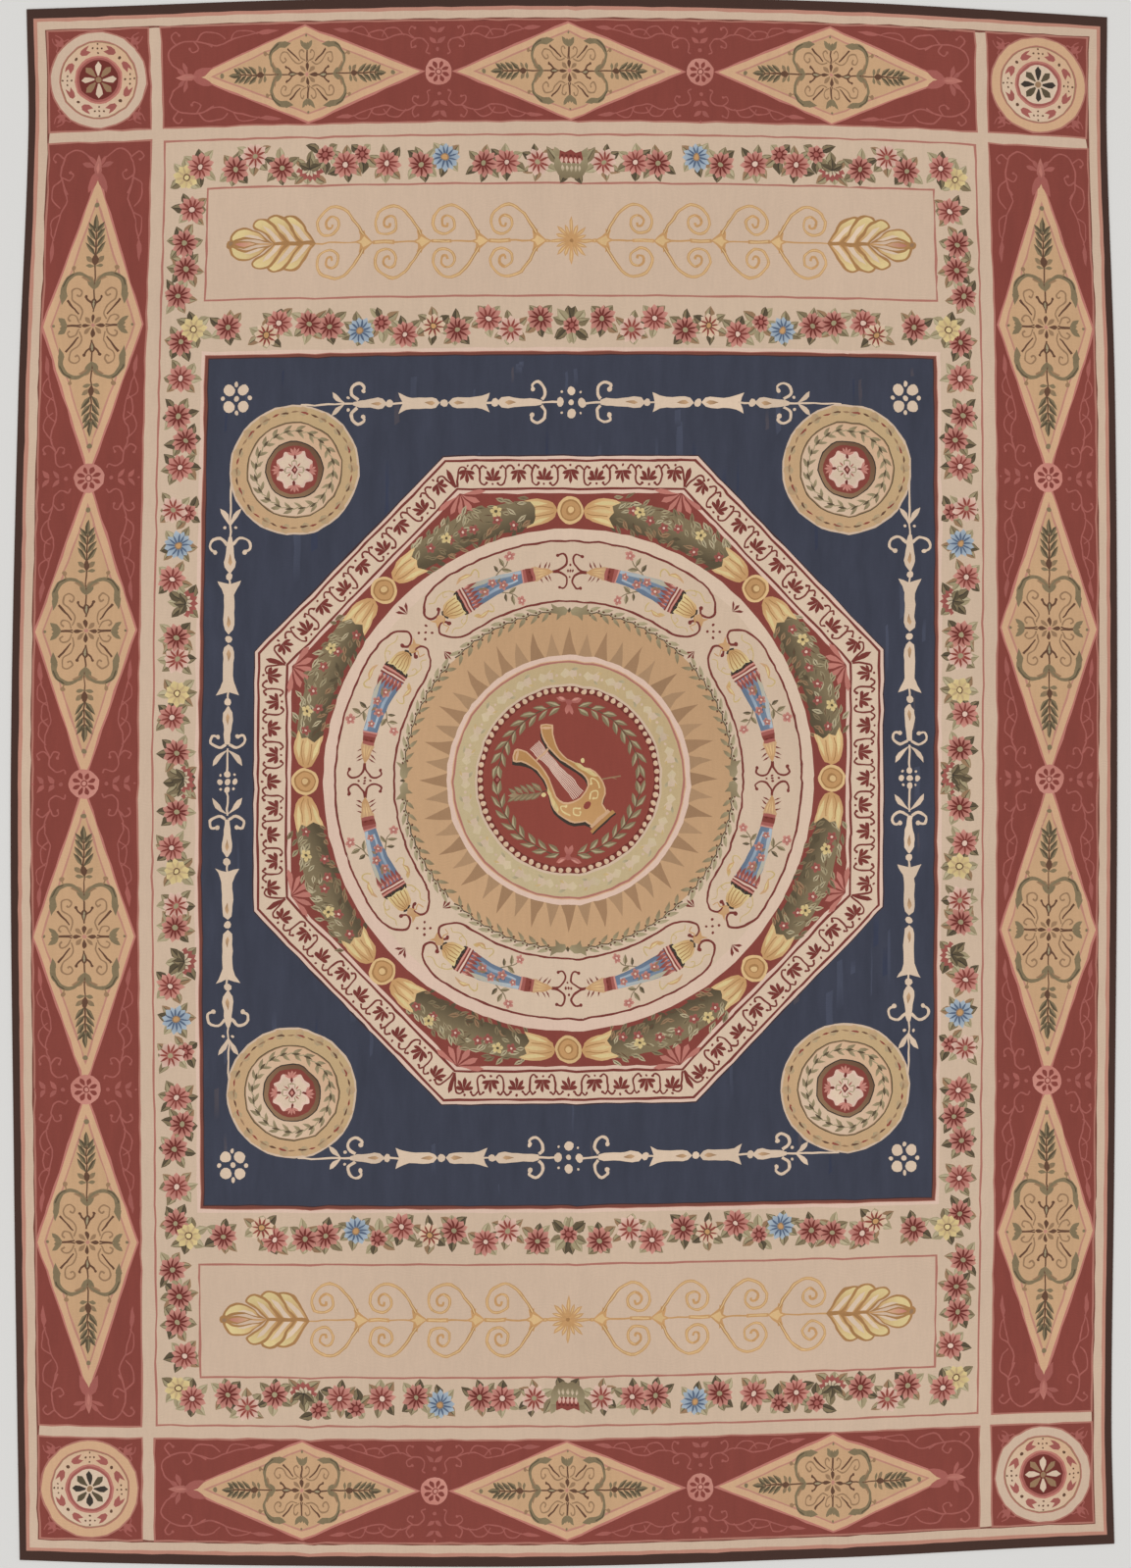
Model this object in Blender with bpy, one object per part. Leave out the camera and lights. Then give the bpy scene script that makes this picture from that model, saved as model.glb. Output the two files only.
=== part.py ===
"""Flat-woven wool carpet, lying open on a floor.

One sheet of tapestry-woven cloth, about 3.05 x 4.35 m and 4 mm thick. Its outline is the
slightly bowed, uneven rectangle of a hand-woven piece, and its upper face keeps soft creases
from folding. The pattern is woven in flat colour, so none of it is raised here.

Frame: +X across the carpet, +Y along it, +Z up. The underside lies on Z = 0, and the origin is
the middle of the outline's box. All sizes are in metres unless a name says otherwise.
"""

from math import exp

import bmesh
import bpy

# Driving dimensions.
HALF_WIDTH = 1.520
HALF_LENGTH = 2.160
THICKNESS = 0.0040
EDGE_THICKNESS = 0.0030
EDGE_ROUND = 0.010

# How far each side stands out of the plain rectangle, in millimetres, at stations that run from
# 0 at the side's first corner to 1 at its last. The left and right sides run from the far end
# (+Y) to the near end, the far and near sides from left to right.
STATIONS = (0.00, 0.08, 0.25, 0.50, 0.75, 0.92, 1.00)
BOW_MM = {
    "left": (-30, -35, -7, 14, 5, -5, -11),
    "right": (-14, -15, 8, 14, 6, -2, 6),
    "far": (-19, -11, 7, 17, 2, -26, -41),
    "near": (0, 8, 16, 17, -7, -34, -45),
}

# Soft creases left by folding: where they lie across the width, how high and how wide they are.
CREASES = (
    {"x": -0.704, "height": 0.0012, "width": 0.022},
    {"x": 0.036, "height": 0.0018, "width": 0.026},
    {"x": 0.776, "height": 0.0012, "width": 0.022},
)

# Long low swells of the cloth on the floor.
SWELL_HEIGHT = 0.0010
SWELL_LENGTH_X = 0.74
SWELL_LENGTH_Y = 1.10

# The grid of the upper face: even steps, with closer lines beside each crease and the rim.
STEPS_ACROSS = 22
STEPS_ALONG = 34
CREASE_LINES = (-1.9, -0.9, 0.0, 0.9, 1.9)
CLOSEST_LINES = 0.016

WOOL_COLOUR = (0.30, 0.13, 0.10, 1.0)
WOOL_ROUGHNESS = 0.92
MM = 0.001


def clear_scene():
    """Take every object out of the open file."""
    for item in list(bpy.data.objects):
        bpy.data.objects.remove(item, do_unlink=True)


def smooth_through(values, t):
    """Read a smooth curve that passes through the values at STATIONS."""
    last = len(STATIONS) - 1
    i = 0
    while i < last - 1 and t >= STATIONS[i + 1]:
        i += 1

    def slope(k):
        lo, hi = max(k - 1, 0), min(k + 1, last)
        return (values[hi] - values[lo]) / (STATIONS[hi] - STATIONS[lo])

    span = STATIONS[i + 1] - STATIONS[i]
    s = (t - STATIONS[i]) / span
    start = (2 * s**3 - 3 * s**2 + 1) * values[i] + (s**3 - 2 * s**2 + s) * span * slope(i)
    end = (3 * s**2 - 2 * s**3) * values[i + 1] + (s**3 - s**2) * span * slope(i + 1)
    return start + end


def corner(side_x, side_y):
    """Give one corner of the outline, from the bows of the two sides that meet there."""
    bow_x = BOW_MM["left" if side_x < 0 else "right"][0 if side_y > 0 else -1]
    bow_y = BOW_MM["far" if side_y > 0 else "near"][0 if side_x < 0 else -1]
    return (side_x * (HALF_WIDTH + bow_x * MM), side_y * (HALF_LENGTH + bow_y * MM))


def blend(a, b, t):
    """Mix two points or numbers."""
    return a * (1.0 - t) + b * t


def outline_point(side, t):
    """Give the point of one side of the outline at station t."""
    bow = smooth_through(BOW_MM[side], t) * MM
    if side in ("left", "right"):
        sx = -1 if side == "left" else 1
        return (sx * (HALF_WIDTH + bow), blend(corner(sx, 1)[1], corner(sx, -1)[1], t))
    sy = 1 if side == "far" else -1
    return (blend(corner(-1, sy)[0], corner(1, sy)[0], t), sy * (HALF_LENGTH + bow))


def cloth_point(u, v):
    """Place a point of the plain rectangle in the bowed outline.

    u runs from 0 on the left side to 1 on the right, v from 0 on the far side to 1 on the near.
    """
    left, right = outline_point("left", v), outline_point("right", v)
    far, near = outline_point("far", u), outline_point("near", u)
    place = []
    for k in (0, 1):
        across = blend(left[k], right[k], u)
        along = blend(far[k], near[k], v)
        flat = blend(
            blend(corner(-1, 1)[k], corner(1, 1)[k], u),
            blend(corner(-1, -1)[k], corner(1, -1)[k], u),
            v,
        )
        place.append(across + along - flat)
    return place


def swell(distance, length):
    """Give a smooth wave between 0 and 1 that repeats over a length."""
    phase = (distance / length) % 1.0
    tent = 1.0 - abs(2.0 * phase - 1.0)
    return tent * tent * (3.0 - 2.0 * tent)


def top_height(x, y, rim):
    """Give the height of the upper face, where rim is the distance in from the edge."""
    height = THICKNESS
    for crease in CREASES:
        height += crease["height"] * exp(-(((x - crease["x"]) / crease["width"]) ** 2))
    height += SWELL_HEIGHT * swell(x, SWELL_LENGTH_X) * swell(y, SWELL_LENGTH_Y)
    if rim < EDGE_ROUND:
        height = blend(EDGE_THICKNESS, height, rim / EDGE_ROUND)
    return height


def grid_lines(steps, length, extra):
    """Give the fractions 0 to 1 where grid lines run, with extra ones merged in."""
    lines = [EDGE_ROUND / length, 1.0 - EDGE_ROUND / length] + extra
    for i in range(steps + 1):
        at = i / steps
        if all(abs(at - other) * length > CLOSEST_LINES for other in lines):
            lines.append(at)
    for end in (0.0, 1.0):
        if end not in lines:
            lines.append(end)
    return sorted(lines)


def wool():
    """Make the wool's plain material."""
    material = bpy.data.materials.new("wool")
    material.use_nodes = True
    shader = material.node_tree.nodes["Principled BSDF"]
    shader.inputs["Base Color"].default_value = WOOL_COLOUR
    shader.inputs["Roughness"].default_value = WOOL_ROUGHNESS
    shader.inputs["Metallic"].default_value = 0.0
    return material


def build_rug():
    """Weave the one closed sheet: gridded upper face, upright rim and flat underside."""
    width, length = 2 * HALF_WIDTH, 2 * HALF_LENGTH
    creased = [
        (crease["x"] + k * crease["width"] + HALF_WIDTH) / width
        for crease in CREASES
        for k in CREASE_LINES
    ]
    columns = grid_lines(STEPS_ACROSS, width, creased)
    rows = grid_lines(STEPS_ALONG, length, [])

    places = [[cloth_point(u, v) for u in columns] for v in rows]
    xs = [place[0] for row in places for place in row]
    ys = [place[1] for row in places for place in row]
    middle_x, middle_y = (min(xs) + max(xs)) / 2, (min(ys) + max(ys)) / 2

    bm = bmesh.new()
    top = []
    for v, row in zip(rows, places):
        line = []
        for u, (x, y) in zip(columns, row):
            rim = min(u * width, (1 - u) * width, v * length, (1 - v) * length)
            line.append(bm.verts.new((x - middle_x, y - middle_y, top_height(x, y, rim))))
        top.append(line)
    for j in range(len(rows) - 1):
        for i in range(len(columns) - 1):
            bm.faces.new((top[j + 1][i], top[j + 1][i + 1], top[j][i + 1], top[j][i]))

    last_row, last_column = len(rows) - 1, len(columns) - 1
    around = [top[0][i] for i in range(last_column)]
    around += [top[j][last_column] for j in range(last_row)]
    around += [top[last_row][i] for i in range(last_column, 0, -1)]
    around += [top[j][0] for j in range(last_row, 0, -1)]
    foot = [bm.verts.new((vert.co.x, vert.co.y, 0.0)) for vert in around]
    for i, vert in enumerate(around):
        j = (i + 1) % len(around)
        bm.faces.new((vert, around[j], foot[j], foot[i]))
    bm.faces.new(foot)
    bmesh.ops.recalc_face_normals(bm, faces=bm.faces)

    mesh = bpy.data.meshes.new("rug")
    bm.to_mesh(mesh)
    bm.free()
    mesh.shade_smooth()
    mesh.set_sharp_from_angle(angle=0.6)
    mesh.materials.append(wool())
    rug = bpy.data.objects.new("rug", mesh)
    bpy.context.scene.collection.objects.link(rug)
    return rug


clear_scene()
build_rug()
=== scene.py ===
"""Looks of a flat-woven wool carpet with a woven medallion, garland and diamond pattern.

The carpet is one sheet of tapestry weave. Its pattern is drawn here as a weaver's cartoon: flat
patches of yarn colour, each from a formula or a few points, laid over one another. The loom class
then cuts the cartoon into twelve panels, fits the patches together edge to edge as interlocked
yarn areas, bends them to the uneven outline of the cloth and gives each panel its thickness.

Cartoon sizes are in steps: one step is about 2.7 mm of cloth. X runs across the carpet, Y along
it, and the cartoon's middle is (0, 0). Everything else is in metres.
"""

from __future__ import annotations

import logging
import math
import random
from contextlib import contextmanager
from dataclasses import dataclass, field
from enum import Enum
from typing import Callable, Iterator, Sequence

import bmesh
import bpy
import numpy as np
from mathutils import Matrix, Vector
from mathutils.geometry import delaunay_2d_cdt


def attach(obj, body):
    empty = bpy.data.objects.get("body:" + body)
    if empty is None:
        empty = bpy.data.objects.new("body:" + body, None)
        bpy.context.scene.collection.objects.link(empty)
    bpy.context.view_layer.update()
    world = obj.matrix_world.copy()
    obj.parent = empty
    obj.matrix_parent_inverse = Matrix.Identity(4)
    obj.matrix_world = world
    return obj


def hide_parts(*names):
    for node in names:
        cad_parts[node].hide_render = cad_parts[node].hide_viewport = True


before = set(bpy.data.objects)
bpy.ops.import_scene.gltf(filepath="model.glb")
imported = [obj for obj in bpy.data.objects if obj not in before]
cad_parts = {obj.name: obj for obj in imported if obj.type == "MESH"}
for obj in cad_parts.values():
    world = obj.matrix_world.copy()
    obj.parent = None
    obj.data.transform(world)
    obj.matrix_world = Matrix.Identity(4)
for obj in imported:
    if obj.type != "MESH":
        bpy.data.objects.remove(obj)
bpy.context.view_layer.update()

log = logging.getLogger("carpet")

NODE = "rug"
BODY = "root"

Point = tuple[float, float]
Rows = Sequence[Point]


class Yarn(Enum):
    """Dyed yarns, as red, green and blue from 0 to 255 in display values."""

    EDGE = (66, 43, 35)
    LINE = (118, 66, 54)
    ROSE_LINE = (172, 113, 99)
    SALMON = (186, 132, 114)
    CREAM = (204, 178, 155)
    CREAM_WARM = (205, 180, 156)
    CREAM_PALE = (214, 190, 166)
    PINK_WHITE = (218, 188, 170)
    RED = (131, 63, 54)
    RED_DEEP = (108, 44, 37)
    BRICK = (138, 66, 55)
    RED_LINE = (117, 52, 45)
    ROSE = (159, 90, 82)
    ROSE_PALE = (184, 117, 105)
    PINK = (201, 140, 126)
    PEACH = (206, 166, 130)
    TAN = (197, 159, 121)
    TAN_GREEN = (190, 164, 122)
    TAN_DEEP = (188, 150, 112)
    RAY = (168, 134, 101)
    RAY_DARK = (158, 123, 91)
    STONE = (192, 175, 138)
    SAND = (204, 186, 150)
    GOLD = (192, 147, 98)
    GOLD_DEEP = (178, 132, 82)
    GOLD_DARK = (164, 121, 76)
    GOLD_PALE = (213, 178, 128)
    BUTTER = (216, 194, 140)
    STRAW = (196, 170, 116)
    OLIVE = (128, 112, 84)
    OLIVE_DARK = (88, 76, 56)
    OLIVE_PALE = (160, 146, 114)
    SAGE = (181, 168, 136)
    BARK = (98, 68, 50)
    UMBER = (150, 118, 88)
    DARK = (58, 50, 42)
    BLUE = (58, 61, 75)
    BLUE_PALE = (68, 72, 88)
    BLUE_GREY = (74, 70, 78)
    BLUE_DEEP = (52, 57, 76)
    BLUE_LINE = (62, 42, 45)
    SKY = (124, 140, 158)
    SKY_PALE = (168, 180, 190)
    SKY_DARK = (84, 98, 120)


def to_linear(value: float) -> float:
    """Turn a display value from 0 to 255 into a linear one from 0 to 1.

    Args:
        value: The display value.

    Returns:
        The linear value.
    """
    share = value / 255.0
    return share / 12.92 if share <= 0.04045 else ((share + 0.055) / 1.055) ** 2.4


LINEAR = {yarn: tuple(to_linear(part) for part in yarn.value) for yarn in Yarn}


@dataclass
class Patch:
    """One area of the cartoon, in one yarn or shaded from one yarn to another."""

    outline: np.ndarray
    start: Yarn
    end: Yarn
    shade_from: np.ndarray
    shade_to: np.ndarray
    abrash: float


def smooth(points: Rows, per: int = 4) -> np.ndarray:
    """Pass a smooth curve through a few points.

    Args:
        points: The points that the curve passes through.
        per: How many pieces each stretch between two points gets.

    Returns:
        The points of the curve, one row each.
    """
    p = np.asarray(points, float)
    if len(p) < 3 or per < 2:
        return p
    q = np.vstack([2 * p[0] - p[1], p, 2 * p[-1] - p[-2]])
    out = []
    for i in range(1, len(q) - 2):
        a, b, c, d = q[i - 1], q[i], q[i + 1], q[i + 2]
        for k in range(per):
            t = k / per
            out.append(
                0.5 * (2 * b + (c - a) * t + (2 * a - 5 * b + 4 * c - d) * t**2
                       + (3 * b - a - 3 * c + d) * t**3)
            )
    out.append(p[-1])
    return np.array(out)


def ring_points(radius: float, count: int, squash: float = 1.0, start: float = 0.0) -> np.ndarray:
    """Give points round a circle or an oval about the middle.

    Args:
        radius: Half the size across X.
        count: How many points.
        squash: Size along Y as a share of the size across X.
        start: Angle of the first point, in degrees.

    Returns:
        The points, counter-clockwise.
    """
    angle = math.radians(start) + np.arange(count) * 2 * math.pi / count
    return np.column_stack([radius * np.cos(angle), radius * squash * np.sin(angle)])


class Cartoon:
    """The weaver's drawing: patches in the order they are laid, each over those before it."""

    def __init__(self) -> None:
        """Start an empty drawing."""
        self.patches: list[Patch] = []
        self._maps: list[Callable[[np.ndarray], np.ndarray]] = []

    @contextmanager
    def moved(self, x: float = 0.0, y: float = 0.0, turn: float = 0.0, sx: float = 1.0,
              sy: float = 1.0) -> Iterator[None]:
        """Draw what follows scaled, then turned, then moved.

        Args:
            x: Move across.
            y: Move along.
            turn: Turn in degrees, counter-clockwise.
            sx: Scale across; negative mirrors.
            sy: Scale along; negative mirrors.
        """
        c, s = math.cos(math.radians(turn)), math.sin(math.radians(turn))
        matrix = np.array([[c * sx, s * sx], [-s * sy, c * sy]])
        offset = np.array([x, y])
        self._maps.append(lambda p: p @ matrix + offset)
        yield
        self._maps.pop()

    @contextmanager
    def bent(self, radius: float) -> Iterator[None]:
        """Draw what follows bent round the middle: X runs clockwise along the circle from the top.

        Args:
            radius: The circle's radius; Y counts outward from it.
        """
        def bend(p: np.ndarray) -> np.ndarray:
            angle = p[:, 0] / radius
            reach = radius + p[:, 1]
            return np.column_stack([reach * np.sin(angle), reach * np.cos(angle)])

        self._maps.append(bend)
        yield
        self._maps.pop()

    def lay(self, outline: Rows | np.ndarray, yarn: Yarn, tip: Yarn | None = None,
            run: tuple[Point, Point] | None = None, abrash: float = 0.0) -> None:
        """Lay one patch.

        Args:
            outline: Its corners in order.
            yarn: Its yarn, or the yarn where the shading starts.
            tip: The yarn that it is shaded to.
            run: Where the shading starts and ends.
            abrash: How far the dye varies in streaks, from 0 to 1.
        """
        points = np.asarray(outline, float)
        marks = np.array(run if run is not None else ((0.0, 0.0), (1.0, 0.0)), float)
        for step in reversed(self._maps):
            points = step(points)
            marks = step(marks)
        x, y = points[:, 0], points[:, 1]
        if np.dot(x, np.roll(y, -1)) - np.dot(y, np.roll(x, -1)) < 0:
            points = points[::-1]
        self.patches.append(Patch(points, yarn, tip or yarn, marks[0], marks[1], abrash))

    def box(self, x0: float, y0: float, x1: float, y1: float, yarn: Yarn,
            abrash: float = 0.0) -> None:
        """Lay a rectangle between two corners."""
        self.lay([(x0, y0), (x1, y0), (x1, y1), (x0, y1)], yarn, abrash=abrash)

    def disc(self, x: float, y: float, radius: float, yarn: Yarn, squash: float = 1.0,
             count: int = 0, tip: Yarn | None = None) -> None:
        """Lay a disc or an oval, shaded from its lower left if it has a second yarn.

        Args:
            x: Its place across.
            y: Its place along.
            radius: Its radius.
            yarn: Its yarn.
            squash: Size along Y as a share of the size across X.
            count: How many corners it has; worked out from its size if 0.
            tip: The yarn that it is shaded to.
        """
        count = count or int(min(max(7, radius * 2.2), 64))
        points = ring_points(radius, count, squash, 90.0 / count) + np.array([x, y])
        run = ((x - radius, y - radius * squash), (x + radius, y + radius * squash))
        self.lay(points, yarn, tip, run)

    def blade(self, x: float, y: float, turn: float, length: float, width: float, yarn: Yarn,
              tip: Yarn | None = None, peak: float = 0.45, blunt: float = 1.0,
              bend: float = 0.0, sides: int = 3, half: int = 0) -> None:
        """Lay a leaf or a petal.

        Args:
            x: Its foot.
            y: Its foot.
            turn: The way it points, in degrees.
            length: Its length.
            width: Its greatest width.
            yarn: The yarn at its foot.
            tip: The yarn at its tip.
            peak: Where along it the greatest width lies, as a share.
            blunt: 1 gives a pointed end, less a rounder one.
            bend: How far its middle bows to the left, as a share of its length.
            sides: How many points each side gets.
            half: 1 or -1 lays only the left or the right half of it.
        """
        power = math.log(0.5) / math.log(peak)
        stations = [(k + 1) / (sides + 1) for k in range(sides)]
        left, right = [], []
        for t in stations:
            t = t ** 0.85
            reach = 0.5 * width * math.sin(math.pi * t**power) ** blunt
            bow = 4 * bend * length * t * (1 - t)
            left.append((t * length, bow + (reach if half >= 0 else 0.0)))
            right.append((t * length, bow - (reach if half <= 0 else 0.0)))
        outline = [(0.0, 0.0)] + right + [(length, 0.0)] + left[::-1]
        with self.moved(x, y, turn):
            self.lay(outline, yarn, tip, ((0.0, 0.0), (length, 0.0)))

    def stroke(self, points: Rows | np.ndarray, width: float, yarn: Yarn,
               end: float | None = None, per: int = 4, tip: Yarn | None = None) -> None:
        """Lay a line of yarn along a smooth path.

        Args:
            points: The points that it passes through.
            width: Its width at the start.
            yarn: Its yarn.
            end: Its width at the end.
            per: How many pieces each stretch gets.
            tip: The yarn at its end.
        """
        path = smooth(points, per)
        along = np.gradient(path, axis=0)
        along /= np.maximum(np.linalg.norm(along, axis=1), 1e-9)[:, None]
        across = np.column_stack([-along[:, 1], along[:, 0]])
        last = width if end is None else end
        reach = np.linspace(width, last, len(path))[:, None] / 2
        left, right = path + across * reach, path - across * reach
        for i in range(len(path) - 1):
            quad = [right[i], right[i + 1], left[i + 1], left[i]]
            self.lay(np.array(quad), yarn, tip, (tuple(path[0]), tuple(path[-1])))

    def curl(self, points: Rows, width: float, yarn: Yarn, bulb: float, per: int = 3) -> None:
        """Lay a line that ends in a round knob."""
        self.stroke(points, width, yarn, width * 0.8, per)
        self.disc(points[-1][0], points[-1][1], bulb, yarn, count=7)

    def leaf(self, x: float, y: float, turn: float, length: float, width: float,
             tones: tuple[Yarn, Yarn, Yarn], bend: float = 0.0) -> None:
        """Lay a leaf with a light half, a dark half and a vein.

        Args:
            x: Its place across.
            y: Its place along.
            turn: Its way, in degrees.
            length: Its length.
            width: Its width.
            tones: Yarns of its halves and its vein.
            bend: How far it bends, as a share of its length.
        """
        dark, light, vein = tones
        self.blade(x, y, turn, length, width, dark, bend=bend)
        self.blade(x, y, turn, length * 0.94, width * 0.86, light, bend=bend, half=1, sides=2)
        bow = bend * length
        with self.moved(x, y, turn):
            self.stroke([(0, 0), (length * 0.5, bow), (length * 0.85, bow * 0.5)],
                        width * 0.14, vein, width * 0.06, 1)


LEAF_TONES = (
    (Yarn.OLIVE, Yarn.OLIVE_PALE, Yarn.OLIVE_DARK),
    (Yarn.OLIVE_DARK, Yarn.OLIVE, Yarn.DARK),
    (Yarn.OLIVE_PALE, Yarn.SAGE, Yarn.OLIVE),
    (Yarn.UMBER, Yarn.OLIVE_PALE, Yarn.OLIVE_DARK),
)


@dataclass
class Bands:
    """Ground colours: the edge, its stripes, the red border panels, the cream and the blue."""

    half_x: float = 559.0
    half_y: float = 790.0
    stripes: tuple[tuple[float, float, Yarn], ...] = (
        (7.2, 10.0, Yarn.SALMON),
        (10.8, 13.6, Yarn.CREAM),
        (19.0, 21.6, Yarn.LINE),
        (21.2, 23.8, Yarn.CREAM),
    )
    red_x: tuple[float, float] = (434.8, 537.2)
    red_y: tuple[float, float] = (664.4, 765.8)
    bar_x: float = 420.5
    bar_y: float = 651.0
    line: float = 2.0
    panel_x: float = 376.0
    panel_y: tuple[float, float] = (486.5, 602.0)
    blue_x: float = 373.0
    blue_y: float = 431.0

    def frame(self, c: Cartoon, x: float, y: float, width: float, yarn: Yarn, inner: Yarn) -> None:
        """Lay a rectangle round the middle with a line of another yarn inside its rim."""
        c.box(-x, -y, x, y, yarn)
        c.box(-x + width, -y + width, x - width, y - width, inner)

    def panel(self, c: Cartoon, x0: float, y0: float, x1: float, y1: float) -> None:
        """Lay one red border panel with its rose rim.

        Args:
            c: The cartoon.
            x0: Its left side.
            y0: Its near side.
            x1: Its right side.
            y1: Its far side.
        """
        rim = 1.7
        c.box(x0 - rim, y0 - rim, x1 + rim, y1 + rim, Yarn.ROSE_LINE)
        c.box(x0, y0, x1, y1, Yarn.RED, abrash=0.35)

    def draw(self, c: Cartoon) -> None:
        """Lay all the grounds, from the outside in.

        Args:
            c: The cartoon.
        """
        c.box(-self.half_x, -self.half_y, self.half_x, self.half_y, Yarn.EDGE)
        for dx, dy, yarn in self.stripes:
            c.box(-self.half_x + dx, -self.half_y + dy, self.half_x - dx, self.half_y - dy, yarn)
        for sx in (-1, 1):
            x0, x1 = sorted((sx * self.red_x[0], sx * self.red_x[1]))
            self.panel(c, x0, -self.bar_y, x1, self.bar_y)
            for sy in (-1, 1):
                y0, y1 = sorted((sy * self.red_y[0], sy * self.red_y[1]))
                self.panel(c, x0, y0, x1, y1)
        for sy in (-1, 1):
            y0, y1 = sorted((sy * self.red_y[0], sy * self.red_y[1]))
            self.panel(c, -self.bar_x, y0, self.bar_x, y1)
        self.frame(c, self.bar_x, self.bar_y, self.line, Yarn.ROSE_LINE, Yarn.CREAM_WARM)
        for sy in (-1, 1):
            y0, y1 = sorted((sy * self.panel_y[0], sy * self.panel_y[1]))
            w = self.line
            c.box(-self.panel_x, y0, self.panel_x, y1, Yarn.ROSE_LINE)
            c.box(-self.panel_x + w, y0 + w, self.panel_x - w, y1 - w, Yarn.CREAM)
        self.frame(c, self.blue_x + 4.2, self.blue_y + 4.2, 3.4, Yarn.PINK_WHITE, Yarn.ROSE_LINE)
        self.frame(c, self.blue_x, self.blue_y, 2.6, Yarn.LINE, Yarn.BLUE_LINE)
        w = 3.6
        c.box(-self.blue_x + w, -self.blue_y + w, self.blue_x - w, self.blue_y - w, Yarn.BLUE,
              abrash=1.0)


@dataclass
class Roundel:
    """Corner rosette in its ring, with small scrolls in the square's corners."""

    radius: float = 48.5
    at: Point = (487.0, 715.5)

    def draw(self, c: Cartoon) -> None:
        """Draw the four roundels, the two kinds at opposite corners.

        Args:
            c: The cartoon.
        """
        for sx, sy in ((-1, 1), (1, 1), (-1, -1), (1, -1)):
            with c.moved(sx * self.at[0], sy * self.at[1]):
                self.one(c, dark_heart=sx * sy < 0)

    def one(self, c: Cartoon, dark_heart: bool) -> None:
        """Draw one roundel about the middle.

        Args:
            c: The cartoon.
            dark_heart: Whether its heart is dark with pale petals, or pale with dark ones.
        """
        ring = Yarn.CREAM if dark_heart else Yarn.PEACH
        heart = Yarn.RED_DEEP if dark_heart else Yarn.CREAM_PALE
        petals = (Yarn.CREAM_PALE, Yarn.UMBER) if dark_heart else (Yarn.DARK, Yarn.OLIVE_DARK)
        for turn in range(0, 360, 90):
            with c.moved(turn=turn):
                self.corner(c)
        c.disc(0, 0, self.radius + 1.6, Yarn.ROSE_LINE, count=40)
        c.disc(0, 0, self.radius, ring, count=40)
        c.disc(0, 0, 40.2, Yarn.ROSE_LINE, count=36)
        c.disc(0, 0, 39.0, Yarn.UMBER, count=36)
        c.disc(0, 0, 38.2, Yarn.CREAM_PALE, count=36, tip=Yarn.PEACH)
        for turn in range(0, 360, 90):
            with c.moved(turn=turn):
                for dx, dy in ((0, 0), (4.6, 0), (-4.6, 0), (0, 4.6), (0, -4.6)):
                    c.disc(dx, 32.0 + dy, 1.15, Yarn.BARK, count=5)
                c.disc(21.8, 21.8, 1.9, Yarn.BARK, count=6)
                for side in (-1, 1):
                    with c.moved(sx=side):
                        self.heart_leaf(c)
        c.disc(0, 0, 24.6, Yarn.ROSE_PALE, count=28)
        c.disc(0, 0, 22.6, Yarn.ROSE, count=28)
        c.disc(0, 0, 20.2, heart, count=26)
        for k in range(8):
            yarn = petals[k % 2]
            c.blade(0, 0, 45 * k, 18.4, 6.8, yarn, peak=0.72, blunt=0.8)
        c.disc(0, 0, 4.4, heart, count=10)
        c.disc(0, 0, 3.2, Yarn.UMBER, count=9)

    def heart_leaf(self, c: Cartoon) -> None:
        """Lay one notched leaf between a cross of dots and a corner dot.

        Args:
            c: The cartoon.
        """
        with c.moved(12.6, 29.0, -28):
            c.lay([(-6.2, 3.4), (-1.6, 0.6), (-5.6, -3.0), (0.5, -4.0), (5.2, -2.4), (6.2, 0.6),
                   (3.4, 3.2), (-1.4, 4.0)], Yarn.ROSE)

    def corner(self, c: Cartoon) -> None:
        """Lay the plume and the two wavy lines that fill one corner of the square.

        Args:
            c: The cartoon.
        """
        for turn, length in ((45, 12), (20, 9), (70, 9)):
            c.blade(34.5, 34.5, turn, length, 3.4, Yarn.ROSE, peak=0.6)
        for side in (0, 1):
            with c.moved(turn=90 * side, sy=-1 if side else 1):
                c.stroke([(28, 37.5), (30, 42), (34, 40.5), (37.5, 44), (43, 46.8)], 1.4,
                         Yarn.ROSE, 1.0, 3)


@dataclass
class Rosette:
    """Small wheel of eight petals between two diamonds."""

    radius: float = 15.0

    def draw(self, c: Cartoon) -> None:
        """Draw the wheel about the middle.

        Args:
            c: The cartoon.
        """
        c.disc(0, 0, self.radius, Yarn.PINK, count=22, tip=Yarn.ROSE_PALE)
        for k in range(8):
            with c.moved(turn=45 * k + 22.5):
                c.blade(3.6, 0, 0, 8.8, 4.6, Yarn.RED, peak=0.6, blunt=0.7)
        c.disc(0, 0, 3.4, Yarn.RED, count=9)
        c.disc(0, 0, 2.2, Yarn.PINK, count=8)


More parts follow.
